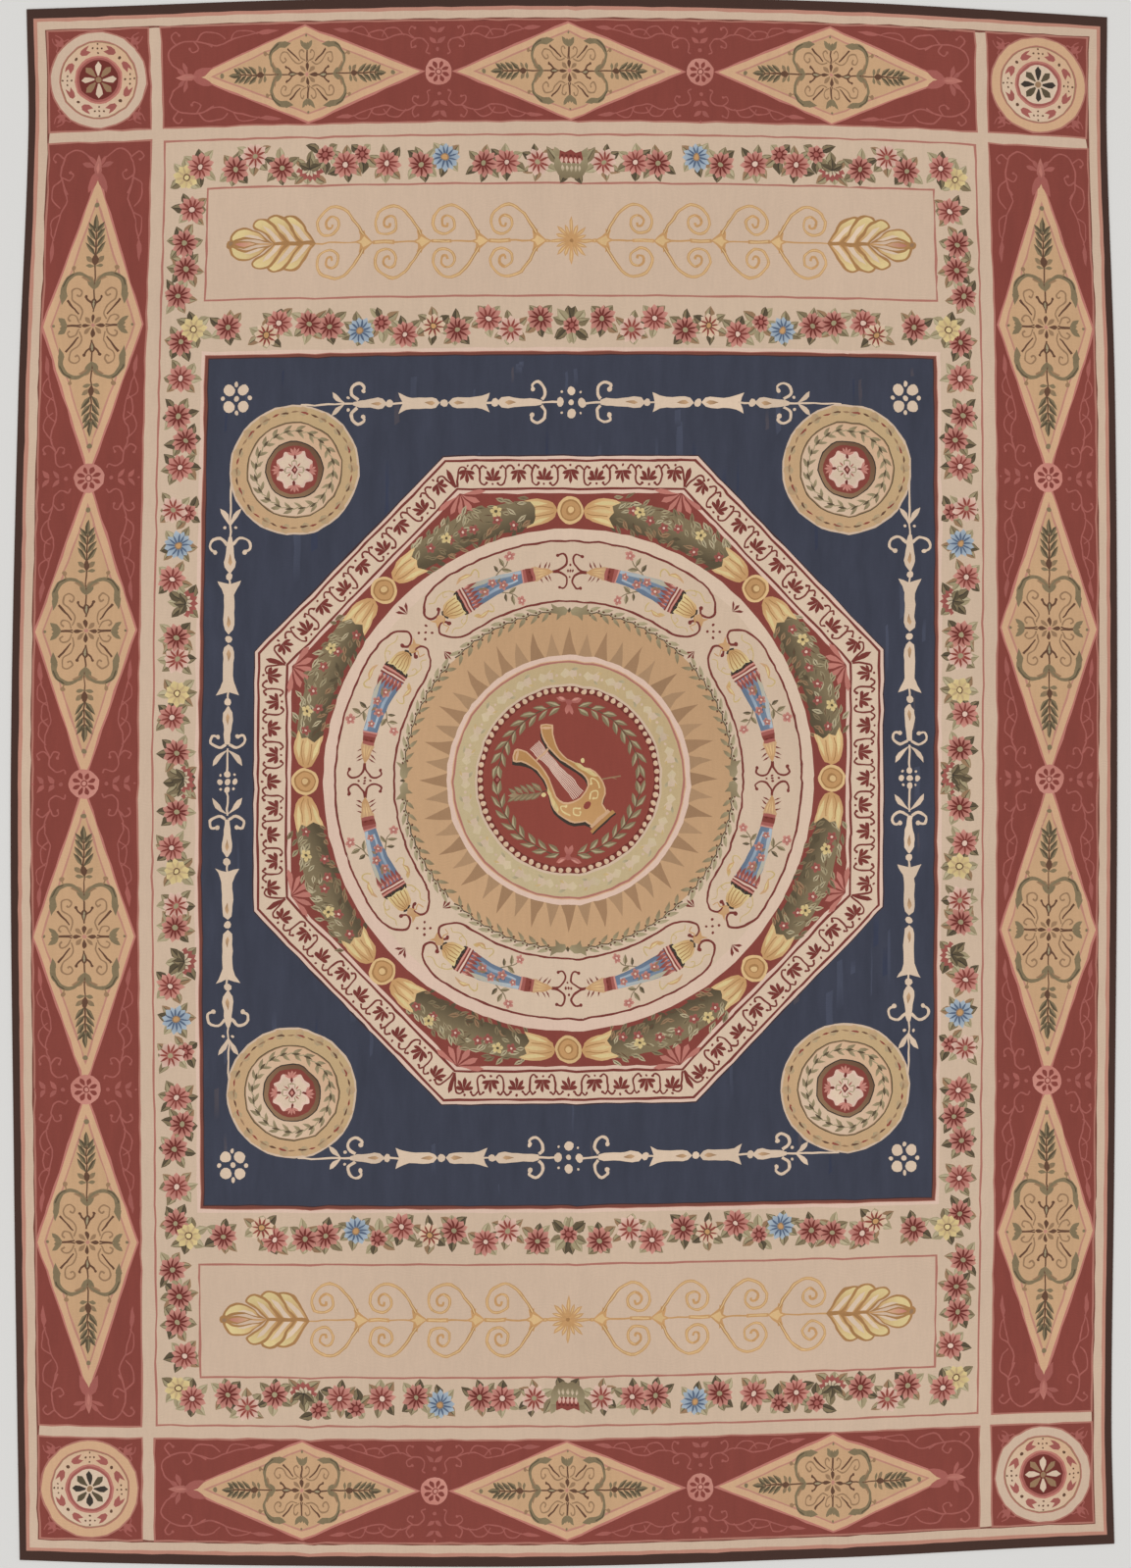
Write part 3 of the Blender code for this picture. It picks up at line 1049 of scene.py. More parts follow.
@dataclass
class Medallion:
    """Ringed disc with a four-petalled heart, in each corner of the blue field."""

    radius: float = 66.0

    def draw(self, c: Cartoon) -> None:
        """Draw the disc about the middle.

        Args:
            c: The cartoon.
        """
        r = self.radius
        c.disc(0, 0, r, Yarn.CREAM_WARM, count=44)
        c.disc(0, 0, r - 2.0, Yarn.TAN, count=44, tip=Yarn.TAN_GREEN)
        for k in range(36):
            with c.moved(turn=10 * k):
                yarn = (Yarn.UMBER, Yarn.BARK, Yarn.BRICK)[k % 3]
                c.blade(57.5 + (k % 2), -4.2, 90, 8.6, 2.0, yarn, sides=2)
                if k % 2 == 0:
                    c.disc(59.8, 2.4, 5.2, Yarn.OLIVE_PALE, squash=0.9, count=8, tip=Yarn.TAN)
                    c.blade(58.4, -4.2, 90, 9.2, 2.0, yarn, sides=2)
        c.disc(0, 0, 48.6, Yarn.OLIVE_DARK, count=40)
        c.disc(0, 0, 47.6, Yarn.UMBER, count=40)
        c.disc(0, 0, 46.8, Yarn.CREAM_PALE, count=40, tip=Yarn.PEACH)
        with c.bent(39.0):
            whole = 2 * math.pi * 39.0
            c.stroke([(whole * k / 40, 1.0 * (-1) ** k) for k in range(41)], 1.2,
                     Yarn.OLIVE_PALE, 1.2, 1)
            for k in range(20):
                with c.moved(whole * k / 20, 0):
                    c.blade(0, 0, 34, 11.5, 4.0, Yarn.OLIVE_PALE, Yarn.OLIVE, sides=2)
                    c.blade(2.5, 0, -34, 11.0, 3.6, Yarn.OLIVE, Yarn.OLIVE_PALE, sides=2)
                    c.blade(0, 0, 8, 9.0, 2.6, Yarn.OLIVE_DARK, sides=2)
        c.disc(0, 0, 29.6, Yarn.DARK, count=30)
        c.disc(0, 0, 28.4, Yarn.UMBER, count=30, tip=Yarn.BARK)
        c.disc(0, 0, 24.2, Yarn.RED, squash=1.02, count=28)
        for k in range(4):
            with c.moved(turn=90 * k):
                self.quarter(c)
        c.lay([(5.6, 0), (0, 7.6), (-5.6, 0), (0, -7.6)], Yarn.PINK_WHITE)
        c.lay([(3.4, 0), (0, 5.0), (-3.4, 0), (0, -5.0)], Yarn.RED_DEEP)
        c.lay([(1.6, 0), (0, 2.4), (-1.6, 0), (0, -2.4)], Yarn.PINK)

    def quarter(self, c: Cartoon) -> None:
        """Lay one heart petal on a diagonal and half of a palmette on an axis.

        Args:
            c: The cartoon.
        """
        with c.moved(turn=45):
            c.lay(smooth([(2, 0), (6, -6.8), (13, -9.6), (19.6, -6.4), (17.6, 0), (19.6, 6.4),
                          (13, 9.6), (6, 6.8)], 3), Yarn.PINK_WHITE)
            c.lay(smooth([(4, 0), (8, -5.2), (13, -7.2), (16.6, -4.4), (14.8, 0), (16.6, 4.4),
                          (13, 7.2), (8, 5.2)], 3), Yarn.CREAM_PALE)
            for side in (-1, 1):
                with c.moved(sy=side):
                    c.curl([(4, 1), (8, 3.8), (7, 6.0)], 1.1, Yarn.OLIVE_PALE, 1.1, 2)
                    c.blade(4, 0, 0, 6, 1.6, Yarn.ROSE, sides=2)
        for turn in (-62, -30, 0, 30, 62):
            c.blade(14.5, 0, turn, 8.4, 2.5, Yarn.ROSE_PALE, Yarn.PINK, 0.6, sides=2)
        c.blade(10, 0, 0, 6, 3.0, Yarn.RED_DEEP, sides=2)


@dataclass
class Chains:
    """Cream chains of spindles, cups and curls round the blue field."""

    across_y: float = 380.0
    along_x: float = 344.6
    yarn: Yarn = Yarn.CREAM_PALE

    def draw(self, c: Cartoon) -> None:
        """Draw the four chains.

        Args:
            c: The cartoon.
        """
        for sy in (-1, 1):
            with c.moved(y=sy * self.across_y, sy=sy):
                self.knot(c, 11.0, 11.5, 4.2)
                for sx in (-1, 1):
                    with c.moved(sx=sx):
                        self.across(c)
        for sx in (-1, 1):
            with c.moved(x=sx * self.along_x, sx=sx):
                self.knot(c, 7.6, 7.6, 2.8)
                for sy in (-1, 1):
                    with c.moved(turn=90, sx=sy):
                        self.along(c)

    def knot(self, c: Cartoon, dx: float, dy: float, radius: float) -> None:
        """Lay the cluster of dots in a chain's middle.

        Args:
            c: The cartoon.
            dx: How far its side dots lie.
            dy: How far its upper and lower dots lie.
            radius: Its radius.
        """
        c.disc(0, 0, 2.9, self.yarn, squash=1.1, count=8)
        for sx in (-1, 1):
            c.disc(sx * dx, 0, radius * 0.95, self.yarn, squash=1.25, count=9)
            c.disc(0, sx * dy, radius, self.yarn, squash=1.15, count=9)
            for sy in (-1, 1):
                c.disc(sx * dx * 0.86, sy * dy * 0.92, 1.4, self.yarn, count=6)

    def body(self, c: Cartoon, start: float, end: float, reach: float, horns: float) -> None:
        """Lay one long cup with horns at one end, a blunt other end and a tan mark.

        Args:
            c: The cartoon.
            start: Where the horned end lies.
            end: Where the blunt end lies.
            reach: Half its width.
            horns: How far the horns reach to each side.
        """
        way = 1.0 if end > start else -1.0
        length = abs(end - start)
        with c.moved(start, 0, sx=way):
            r, h = reach, horns
            c.lay([(0, -1.2), (-3.4, -h), (4.5, -h * 0.66), (11, -r), (length - 9, -r),
                   (length - 4, -r * 0.8), (length, 0), (length - 4, r * 0.8), (length - 9, r),
                   (11, r), (4.5, h * 0.66), (-3.4, h), (0, 1.2)], self.yarn)
            c.blade(length * 0.88, 0, 180, 12.5, 4.2, Yarn.TAN, Yarn.UMBER, 0.3)

    def spindle(self, c: Cartoon, points: Sequence[Point]) -> None:
        """Lay a body of turned outline, from places along it and its half widths.

        Args:
            c: The cartoon.
            points: The outline's corners.
        """
        upper = list(points)
        lower = [(x, -r) for x, r in reversed(points)]
        c.lay(upper + lower, self.yarn)

    def leaves(self, c: Cartoon, foot: float, x: float, y: float) -> None:
        """Lay a pair of leaves that spread from a foot on the chain to (x, y) and its mirror.

        Args:
            c: The cartoon.
            foot: Where the leaves start on the chain.
            x: Its place across.
            y: Its place along.
        """
        turn = math.degrees(math.atan2(y, x - foot))
        length = math.hypot(x - foot, y)
        for side in (-1, 1):
            c.blade(foot, 0, side * turn, length, 5.4, self.yarn, peak=0.62, bend=-0.06 * side)

    def across(self, c: Cartoon) -> None:
        """Draw half of an end chain, from its knot outward along X.

        Args:
            c: The cartoon.
        """
        c.stroke([(14, 0), (32, 0)], 2.2, self.yarn, 2.2, 1)
        for side in (-1, 1):
            with c.moved(sy=side):
                c.curl([(30, 3.2), (26.6, 8), (27.6, 15.5), (33.5, 20.5), (40, 17.5), (39.4, 12.8)],
                       3.2, self.yarn, 2.5)
                c.disc(227, 6.0, 1.7, self.yarn, count=7)
                c.curl([(217, 4), (223.5, 9), (223, 16.5), (216.5, 20.5), (210.5, 17.2),
                        (211.5, 13)], 3.2, self.yarn, 2.5)
        self.spindle(c, [(30, 2.4), (36, 3.8), (46, 3.8), (58, 4.8), (64, 5.8), (71, 5.0), (75, 1)])
        c.blade(68, 0, 180, 12.5, 4.2, Yarn.TAN, Yarn.UMBER, 0.3)
        c.disc(77.5, 0, 3.6, self.yarn, squash=1.15, count=8)
        c.stroke([(80, 0), (88, 0)], 2.0, self.yarn, 2.0, 1)
        self.body(c, 86.0, 125.0, 5.6, 10.0)
        c.disc(129, 0, 4.0, self.yarn, count=8)
        self.body(c, 172.5, 133.0, 5.6, 10.5)
        c.stroke([(170, 0), (182, 0)], 2.0, self.yarn, 2.0, 1)
        c.disc(184.5, 0, 3.8, self.yarn, squash=1.15, count=8)
        self.spindle(c, [(187.5, 0.8), (192, 5.0), (197, 5.8), (205, 4.4), (215, 3.6), (222, 1.6)])
        c.blade(193, 0, 0, 11.5, 4.0, Yarn.TAN, Yarn.UMBER, 0.3)
        c.stroke([(220, 0), (275, 0)], 1.9, self.yarn, 1.7, 1)
        self.leaves(c, 230.0, 243.5, 12.0)

    def along(self, c: Cartoon) -> None:
        """Draw half of a side chain, from its knot outward.

        Args:
            c: The cartoon.
        """
        c.stroke([(9, 0), (34, 0)], 1.9, self.yarn, 1.9, 1)
        self.leaves(c, 33.0, 16.0, 15.0)
        for side in (-1, 1):
            with c.moved(sy=side):
                c.curl([(38, 2), (34.4, 9), (39.5, 17), (46.5, 15.2), (45.8, 9.6)], 3.0,
                       self.yarn, 2.4)
                c.curl([(240, 3), (246, 10), (243, 19), (235.5, 20.4), (232, 15)], 3.0,
                       self.yarn, 2.4)
                c.disc(257, 4.8, 1.6, self.yarn, count=7)
        self.spindle(c, [(38, 2.6), (48, 3.4), (62, 5.4), (70, 4.8), (76, 0.8)])
        c.blade(70, 0, 180, 12.5, 4.0, Yarn.TAN, Yarn.UMBER, 0.3)
        c.disc(80.5, 0, 3.8, self.yarn, count=8)
        c.stroke([(83, 0), (92, 0)], 1.9, self.yarn, 1.9, 1)
        self.body(c, 91.0, 140.0, 5.2, 12.0)
        c.disc(144.6, 0, 3.6, self.yarn, count=8)
        self.body(c, 200.0, 149.5, 5.4, 12.0)
        c.stroke([(198, 0), (206, 0)], 1.9, self.yarn, 1.9, 1)
        c.disc(207.5, 0, 3.8, self.yarn, count=8)
        self.spindle(c, [(211, 0.8), (217, 4.8), (222, 5.6), (231, 4.2), (242, 3.2), (248, 1.6)])
        c.blade(218, 0, 0, 12.5, 4.0, Yarn.TAN, Yarn.UMBER, 0.3)
        c.stroke([(246, 0), (314, 0)], 1.9, self.yarn, 1.7, 1)
        self.leaves(c, 258.0, 276.0, 10.5)


@dataclass
class BlueField:
    """Motifs on the blue ground: medallions, chains, clusters of dots and dyer's streaks."""

    medallion: Medallion = field(default_factory=Medallion)
    chains: Chains = field(default_factory=Chains)
    at: Point = (280.7, 314.2)
    dots_at: Point = (341.0, 387.4)
    streaks: int = 150
    seed: int = 31

    def draw(self, c: Cartoon) -> None:
        """Draw the streaks first, then the chains, medallions and dots.

        Args:
            c: The cartoon.
        """
        self.dye_streaks(c)
        self.chains.draw(c)
        for sx in (-1, 1):
            for sy in (-1, 1):
                with c.moved(sx * self.at[0], sy * self.at[1]):
                    self.medallion.draw(c)
                with c.moved(sx * self.dots_at[0], sy * self.dots_at[1]):
                    self.dots(c)

    def dots(self, c: Cartoon) -> None:
        """Lay the cluster of nine dots in a corner of the field.

        Args:
            c: The cartoon.
        """
        yarn = Yarn.CREAM_PALE
        c.disc(0, 0, 3.0, yarn, count=8)
        for sx in (-1, 1):
            c.disc(sx * 13.4, 0, 2.2, yarn, squash=1.1, count=7)
            c.disc(0, sx * 14.6, 1.9, yarn, squash=1.5, count=7)
            for sy in (-1, 1):
                c.disc(sx * 7.2, sy * 8.4, 5.7, yarn, squash=1.04, count=11)

    def dye_streaks(self, c: Cartoon) -> None:
        """Lay long narrow areas where the weft came from a slightly different dye lot.

        Args:
            c: The cartoon.
        """
        rng = random.Random(self.seed)
        for _ in range(self.streaks):
            x, y = rng.uniform(-366, 366), rng.uniform(-420, 420)
            length, width = rng.uniform(14, 62), rng.uniform(1.2, 7.0)
            length = min(length, 424 - abs(y)) if abs(y) > 380 else length
            yarn = rng.choice((Yarn.BLUE_PALE, Yarn.BLUE_GREY, Yarn.BLUE_DEEP, Yarn.BLUE_PALE))
            half = length / 2
            rows = [(x - width / 2, y - half), (x + width / 2, y - half * 0.8),
                    (x + width * 0.4, y + half), (x - width / 2, y + half * 0.9)]
            c.lay(rows, yarn, Yarn.BLUE, ((x, y), (x, y + half * rng.choice((-1, 1)))), 1.0)


@dataclass
class Octagon:
    """Octagon round the centre: lined band of palmettes, red ground, discs and leaf garland."""

    corner_a: Point = (129.0, 325.7)
    corner_b: Point = (317.8, 131.0)
    bands: tuple[tuple[float, Yarn], ...] = (
        (-1.2, Yarn.BLUE_LINE), (0.0, Yarn.PINK_WHITE), (2.9, Yarn.RED_LINE), (5.4, Yarn.CREAM_PALE),
        (31.6, Yarn.RED_LINE), (34.0, Yarn.PINK_WHITE), (37.4, Yarn.RED))
    inner: float = 37.4
    oval: Point = (0.991, 1.011)
    disc_radius: float = 13.4
    ring: float = 268.5
    seed: int = 47

    def corners(self, inset: float) -> list[Point]:
        """Give the octagon's corners, moved in by a distance from every side.

        Args:
            inset: The distance from every side.

        Returns:
            The corners in order.
        """
        (ax, ay), (bx, by) = self.corner_a, self.corner_b
        side = math.hypot(bx - ax, ay - by)
        nx, ny = (ay - by) / side, (bx - ax) / side
        reach = ax * nx + ay * ny - inset
        top, right = ay - inset, bx - inset
        upper = ((reach - top * ny) / nx, top)
        outer = (right, (reach - right * nx) / ny)
        ring = [upper, outer]
        ring += [(x, -y) for x, y in reversed(ring)]
        return ring + [(-x, y) for x, y in reversed(ring)]

    def draw(self, c: Cartoon) -> None:
        """Draw the bands, their palmettes, and what lies on the red ground.

        Args:
            c: The cartoon.
        """
        for inset, yarn in self.bands:
            c.lay(self.corners(inset), yarn, abrash=0.3 if yarn is Yarn.RED else 0.0)
        ring, deep = self.corners(0.0), self.corners(31.8)
        for k, corner in enumerate(ring):
            ahead = ring[(k + 1) % 8]
            run = (ahead[0] - corner[0], ahead[1] - corner[1])
            middle = ((corner[0] + ahead[0]) / 2, (corner[1] + ahead[1]) / 2)
            with c.moved(middle[0], middle[1], math.degrees(math.atan2(run[1], run[0]))):
                self.side(c, math.hypot(*run))
            out = math.degrees(math.atan2(corner[1] - deep[k][1], corner[0] - deep[k][0]))
            with c.moved(deep[k][0], deep[k][1], out - 90.0):
                self.corner_leaves(c)
            with c.moved(deep[k][0], deep[k][1], out - 90.0):
                for turn in range(-75, 76, 30):
                    length = 25.5 if abs(turn) > 60 else 21.0
                    c.blade(1.5 * math.sin(math.radians(turn)), -7.5, -90 + turn, length, 5.6,
                            Yarn.ROSE_PALE, peak=0.72, blunt=0.7)
        with c.moved(sx=self.oval[0], sy=self.oval[1]):
            self.red_ground(c)

    def side(self, c: Cartoon, length: float) -> None:
        """Lay one side's palmettes and brackets: X along it, Y outward.

        Args:
            c: The cartoon.
            length: Its length.
        """
        pitch = 53.6 * length / 262.0
        for k in range(-2, 3):
            with c.moved(k * pitch, -13.6):
                self.palmette(c, -90.0)
                c.disc(0, 4.8, 1.3, Yarn.RED_LINE, squash=1.2, count=6)
        for k in (-1.5, -0.5, 0.5, 1.5):
            with c.moved(k * pitch, -24.4):
                self.palmette(c, 90.0)
                c.disc(0, -3.4, 1.3, Yarn.RED_LINE, count=6)
                for side in (-1, 1):
                    with c.moved(sx=side):
                        self.bracket(c)

    def palmette(self, c: Cartoon, way: float) -> None:
        """Lay five dark-red petals that fan from their foot."""
        for turn, length in ((0, 14.0), (34, 12.6), (-34, 12.6), (68, 9.6), (-68, 9.6)):
            c.blade(0, 0, way + turn, length, 3.9, Yarn.RED_LINE, peak=0.66, blunt=0.6)

    def bracket(self, c: Cartoon) -> None:
        """Lay the hooked bracket on the right of an upright palmette.

        Args:
            c: The cartoon.
        """
        yarn = Yarn.RED_LINE
        c.stroke([(13.0, 12.6), (13.1, 4.0), (12.2, -1.6), (8.8, -4.6), (6.4, -2.6)], 2.0, yarn,
                 1.8, 3)
        c.stroke([(20.4, 12.8), (18.6, 15.2), (16, 15.2), (13, 12.0), (10.4, 15.2), (8.0, 13.4)],
                 1.9, yarn, 1.9, 3)
        for x, y in ((6.2, -2.4), (20.6, 12.4), (7.8, 13.2)):
            c.disc(x, y, 1.5, yarn, count=6)

    def corner_leaves(self, c: Cartoon) -> None:
        """Lay the leaf and the two hooked lines in a corner of the band: Y points outward.

        Args:
            c: The cartoon.
        """
        yarn = Yarn.RED_LINE
        c.blade(0, 1.0, 97, 21, 5.0, yarn, peak=0.6, blunt=0.6)
        for side in (-1, 1):
            with c.moved(sx=side):
                c.curl([(0.6, 0.6), (4.4, 9), (8.6, 16.6), (13.2, 17.4), (15.6, 14.6)], 2.1, yarn,
                       1.5, 3)

    def red_ground(self, c: Cartoon) -> None:
        """Lay the garlands between the eight discs, then the gold cups and the discs.

        Args:
            c: The cartoon.
        """
        rng = random.Random(self.seed)
        whole = 2 * math.pi * self.ring
        with c.bent(self.ring):
            for k in range(8):
                with c.moved(whole * k / 8):
                    self.garland(c, rng, whole / 8)
                    for side in (-1, 1):
                        with c.moved(sx=side):
                            self.cup(c)
                    self.disc(c)

    def garland(self, c: Cartoon, rng: random.Random, length: float) -> None:
        """Lay one rope of leaves with little flowers, from one disc to the next.

        Args:
            c: The cartoon.
            rng: Source of its small differences.
            length: Its length.
        """
        start, end, half = 40.0, length - 40.0, 13.0
        middle = (start + end) / 2
        body = [(start, -11), (middle - 30, -14), (middle, -13), (middle + 30, -14), (end, -11),
                (end, 11), (middle + 30, 15.5), (middle, 17.5), (middle - 30, 15.5), (start, 11)]
        c.lay(smooth(body + body[:1], 3)[:-1], Yarn.OLIVE_DARK, Yarn.OLIVE,
              ((middle, -14), (middle, 6)))
        for k in range(15):
            for row in range(5):
                x = start + (k + rng.uniform(0.0, 1.0)) * (end - start) / 15
                y = (row - 2) * 6.4 + rng.uniform(-2.4, 2.4) + 1.5
                high = row >= 2
                tone = rng.choice((Yarn.OLIVE_PALE, Yarn.SAGE, Yarn.OLIVE) if high
                                  else (Yarn.OLIVE, Yarn.OLIVE_DARK, Yarn.UMBER))
                turn = rng.uniform(10, 65) * (1 if y > 0 else -1) + (180 if x > middle else 0)
                turn = turn if x <= middle else 360 - turn
                size = rng.uniform(8.5, 12.5)
                c.blade(x, y, turn, size, rng.uniform(3.6, 5.2), tone, sides=2)
                c.blade(x, y, turn, size * 0.9, 1.1, rng.choice((Yarn.OLIVE_DARK, Yarn.BARK)),
                        sides=1)
        for k in range(6):
            x = start + 6 + (k + rng.uniform(0.1, 0.9)) * (end - start - 12) / 6
            y = rng.uniform(-9, 9)
            self.little_flower(c, x, y, rng.uniform(0, 72),
                               (Yarn.RED, Yarn.ROSE, Yarn.PINK_WHITE), 5.4)
        for k in range(2):
            x = start + (0.25 + 0.5 * k) * (end - start) + rng.uniform(-9, 9)
            self.little_flower(c, x, rng.uniform(3, half - 3), rng.uniform(0, 72),
                               (Yarn.STRAW, Yarn.BUTTER, Yarn.OLIVE_DARK), 6.2)

    def little_flower(self, c: Cartoon, x: float, y: float, turn: float,
                      tones: tuple[Yarn, Yarn, Yarn], size: float) -> None:
        """Lay a five-petalled flower.

        Args:
            c: The cartoon.
            x: Its middle.
            y: Its middle.
            turn: Its first petal's way, in degrees.
            tones: Yarns of its petals' feet, their tips and its eye.
            size: Its radius.
        """
        for k in range(5):
            c.blade(x, y, turn + 72 * k, size, size * 0.72, tones[0], tones[1], 0.62, 0.8, sides=2)
        c.disc(x, y, size * 0.26, tones[2], count=6)

    def cup(self, c: Cartoon) -> None:
        """Lay one three-lobed gold cup that opens away from the disc.

        Args:
            c: The cartoon.
        """
        c.lay(smooth([(13.2, 0), (17, 7.4), (27, 12.4), (38, 13.4), (49.5, 12.2), (42, 7.2),
                      (44.5, 1.0), (41, -5.6), (48, -14.4), (36, -12.8), (24, -10.8), (16.5, -6.4)],
                     2), Yarn.GOLD, Yarn.GOLD_PALE, ((14, 0), (46, 0)))
        c.blade(22, 7.4, 7, 26, 4.2, Yarn.BUTTER, peak=0.5, sides=2)
        c.blade(22, -6.4, -12, 25, 4.0, Yarn.BUTTER, peak=0.5, sides=2)
        c.blade(20, 0.5, 1, 24, 4.6, Yarn.GOLD_PALE, Yarn.BUTTER, 0.6, sides=2)
        c.stroke([(17, 2.4), (27, 5.4), (40, 5.4)], 0.9, Yarn.GOLD_DARK, 0.9, 2)
        c.stroke([(17, -2.0), (27, -4.0), (39, -3.6)], 0.9, Yarn.GOLD_DARK, 0.9, 2)

    def disc(self, c: Cartoon) -> None:
        """Lay one gold disc with a wound line in it.

        Args:
            c: The cartoon.
        """
        r = self.disc_radius
        c.disc(0, 0, r, Yarn.GOLD_PALE, squash=1.04, count=22)
        c.disc(0, 0, r * 0.80, Yarn.GOLD_DARK, squash=1.04, count=20)
        c.disc(0, -0.3, r * 0.68, Yarn.GOLD, squash=1.04, count=18)
        c.disc(0, -0.3, r * 0.36, Yarn.GOLD_DARK, count=12)
        c.disc(0.4, 0.4, r * 0.24, Yarn.GOLD_PALE, count=10)


@dataclass
class Torch:
    """Cloth-wrapped torch that lies along the pale ring; X runs along it from its tail."""

    def draw(self, c: Cartoon) -> None:
        """Draw the torch: tail, cloth, collar and bell, with sprigs and curls beside it.

        Args:
            c: The cartoon.
        """
        self.sprigs(c)
        self.tail(c)
        self.cloth(c)
        self.bell(c)

    def tail(self, c: Cartoon) -> None:
        """Lay the gold tassel with its dark spikes and the red knot.

        Args:
            c: The cartoon.
        """
        for side in (-1, 1):
            for x, turn, length in ((23, 62, 9.5), (28, 55, 11), (33, 64, 10), (36, 76, 6.5)):
                c.blade(x, side * 1.5, side * (180 - turn), length, 1.7, Yarn.RED_LINE, sides=1)
        c.lay(smooth([(16.5, 0), (22, 3.0), (30, 5.4), (38, 7.0), (38, -7.0), (30, -5.4),
                      (22, -3.0)], 2), Yarn.GOLD, Yarn.TAN, ((16, 0), (38, 0)))
        for side in (-1, 0, 1):
            c.blade(22, side * 1.0, side * 12, 15, 1.6, Yarn.GOLD_PALE, sides=1)
        c.lay([(36, -6.4), (48, -6.8), (48, 6.8), (36, 6.4)], Yarn.ROSE)
        c.lay([(39, -6.6), (44.5, -6.8), (44.5, 6.8), (39, 6.6)], Yarn.RED)
        c.blade(40, 0, 90, 5.0, 2.0, Yarn.RED_DEEP, sides=1)
        c.blade(40, 0, -90, 5.0, 2.0, Yarn.RED_DEEP, sides=1)
        c.lay([(48, -6.8), (50, -7), (50, 7), (48, 6.8)], Yarn.PINK)

    def cloth(self, c: Cartoon) -> None:
        """Lay the blue cloth with its folds, flowers and red fringe.

        Args:
            c: The cartoon.
        """
        c.lay([(49.5, -6.2), (70, -8.0), (90, -10.4), (109, -12.6), (109, 12.6), (90, 10.6),
               (70, 8.4), (49.5, 6.4)], Yarn.SKY, Yarn.SKY_DARK, ((80, 14), (80, -22)))
        c.lay([(50, 3.0), (75, 5.4), (106, 8.6), (106, 12.4), (75, 9.2), (50, 6.2)],
              Yarn.SKY_PALE, Yarn.SAGE, ((50, 4), (106, 12)))
        c.lay([(54, -3.4), (80, -5.4), (100, -7.2), (100, -4.4), (80, -2.4), (54, -1.6)],
              Yarn.SKY_PALE, Yarn.SKY, ((54, 0), (100, 0)))
        c.lay([(66, 0.6), (92, 1.4), (92, 3.4), (66, 2.2)], Yarn.SKY_DARK)
        for k in range(6):
            y = -10.4 + 4.2 * k
            c.blade(109, y, 180, 12.5 + 2.5 * (k % 2), 4.6, Yarn.ROSE, Yarn.RED, 0.3, sides=2)
            c.blade(109, y + 1.2, 180, 8.0, 1.6, Yarn.PINK, sides=1)
        for x, y, size in ((57, 1.5, 4.2), (70, -2.5, 5.2), (80, 3.4, 5.0), (91, -1.5, 5.4)):
            for k in range(5):
                c.blade(x, y, 72 * k + 9 * x, size, size * 0.74, Yarn.RED, Yarn.PINK, 0.62, 0.8,
                        sides=2)
            c.disc(x, y, 1.3, Yarn.PINK_WHITE, count=6)
        for x, y, turn in ((75, 1, 140), (86, 0, 30), (96, 4, 200), (98, -5, 160)):
            c.blade(x, y, turn, 6.5, 2.8, Yarn.UMBER, Yarn.OLIVE, sides=1)

    def bell(self, c: Cartoon) -> None:
        """Lay the striped collar, the dark scallops, the gold bell and its ribbon.

        Args:
            c: The cartoon.
        """
        stripes = (Yarn.RED, Yarn.PINK_WHITE, Yarn.RED, Yarn.PINK, Yarn.RED_DEEP)
        for k, yarn in enumerate(stripes):
            x = 107.6 + 1.75 * k
            c.lay([(x, -13.2), (x + 1.8, -13.2), (x + 1.8, 13.2), (x, 13.2)], yarn)
        for k in range(6):
            c.disc(117.0, -10.6 + 4.25 * k, 2.3, Yarn.DARK, count=7)
        c.lay(smooth([(117, -10.8), (124, -10.2), (132, -8.4), (137, -3.6), (137.5, 0), (137, 3.6),
                      (132, 8.4), (124, 10.2), (117, 10.8), (118.6, 5.4), (117.4, 0),
                      (118.6, -5.4)], 2), Yarn.BUTTER, Yarn.GOLD, ((118, 0), (138, 0)))
        for k in range(-2, 3):
            c.stroke([(119, 3.9 * k), (128, 3.6 * k), (136, 1.3 * k)], 1.0, Yarn.GOLD_DARK, 0.7, 1)
        c.stroke([(136.4, 4.6), (138.4, 0), (136.4, -4.6)], 1.9, Yarn.DARK, 1.9, 2)
        c.lay(smooth([(138, 0), (142, 4), (147, 2.4), (152, 5.4), (149, -0.4), (151, -5.4),
                      (145, -3.6), (141, -5.0)], 2), Yarn.TAN, Yarn.GOLD, ((138, 0), (152, 0)))
        c.stroke([(139, -2), (144, -7), (141, -12), (147, -14)], 1.4, Yarn.GOLD, 1.0, 2)

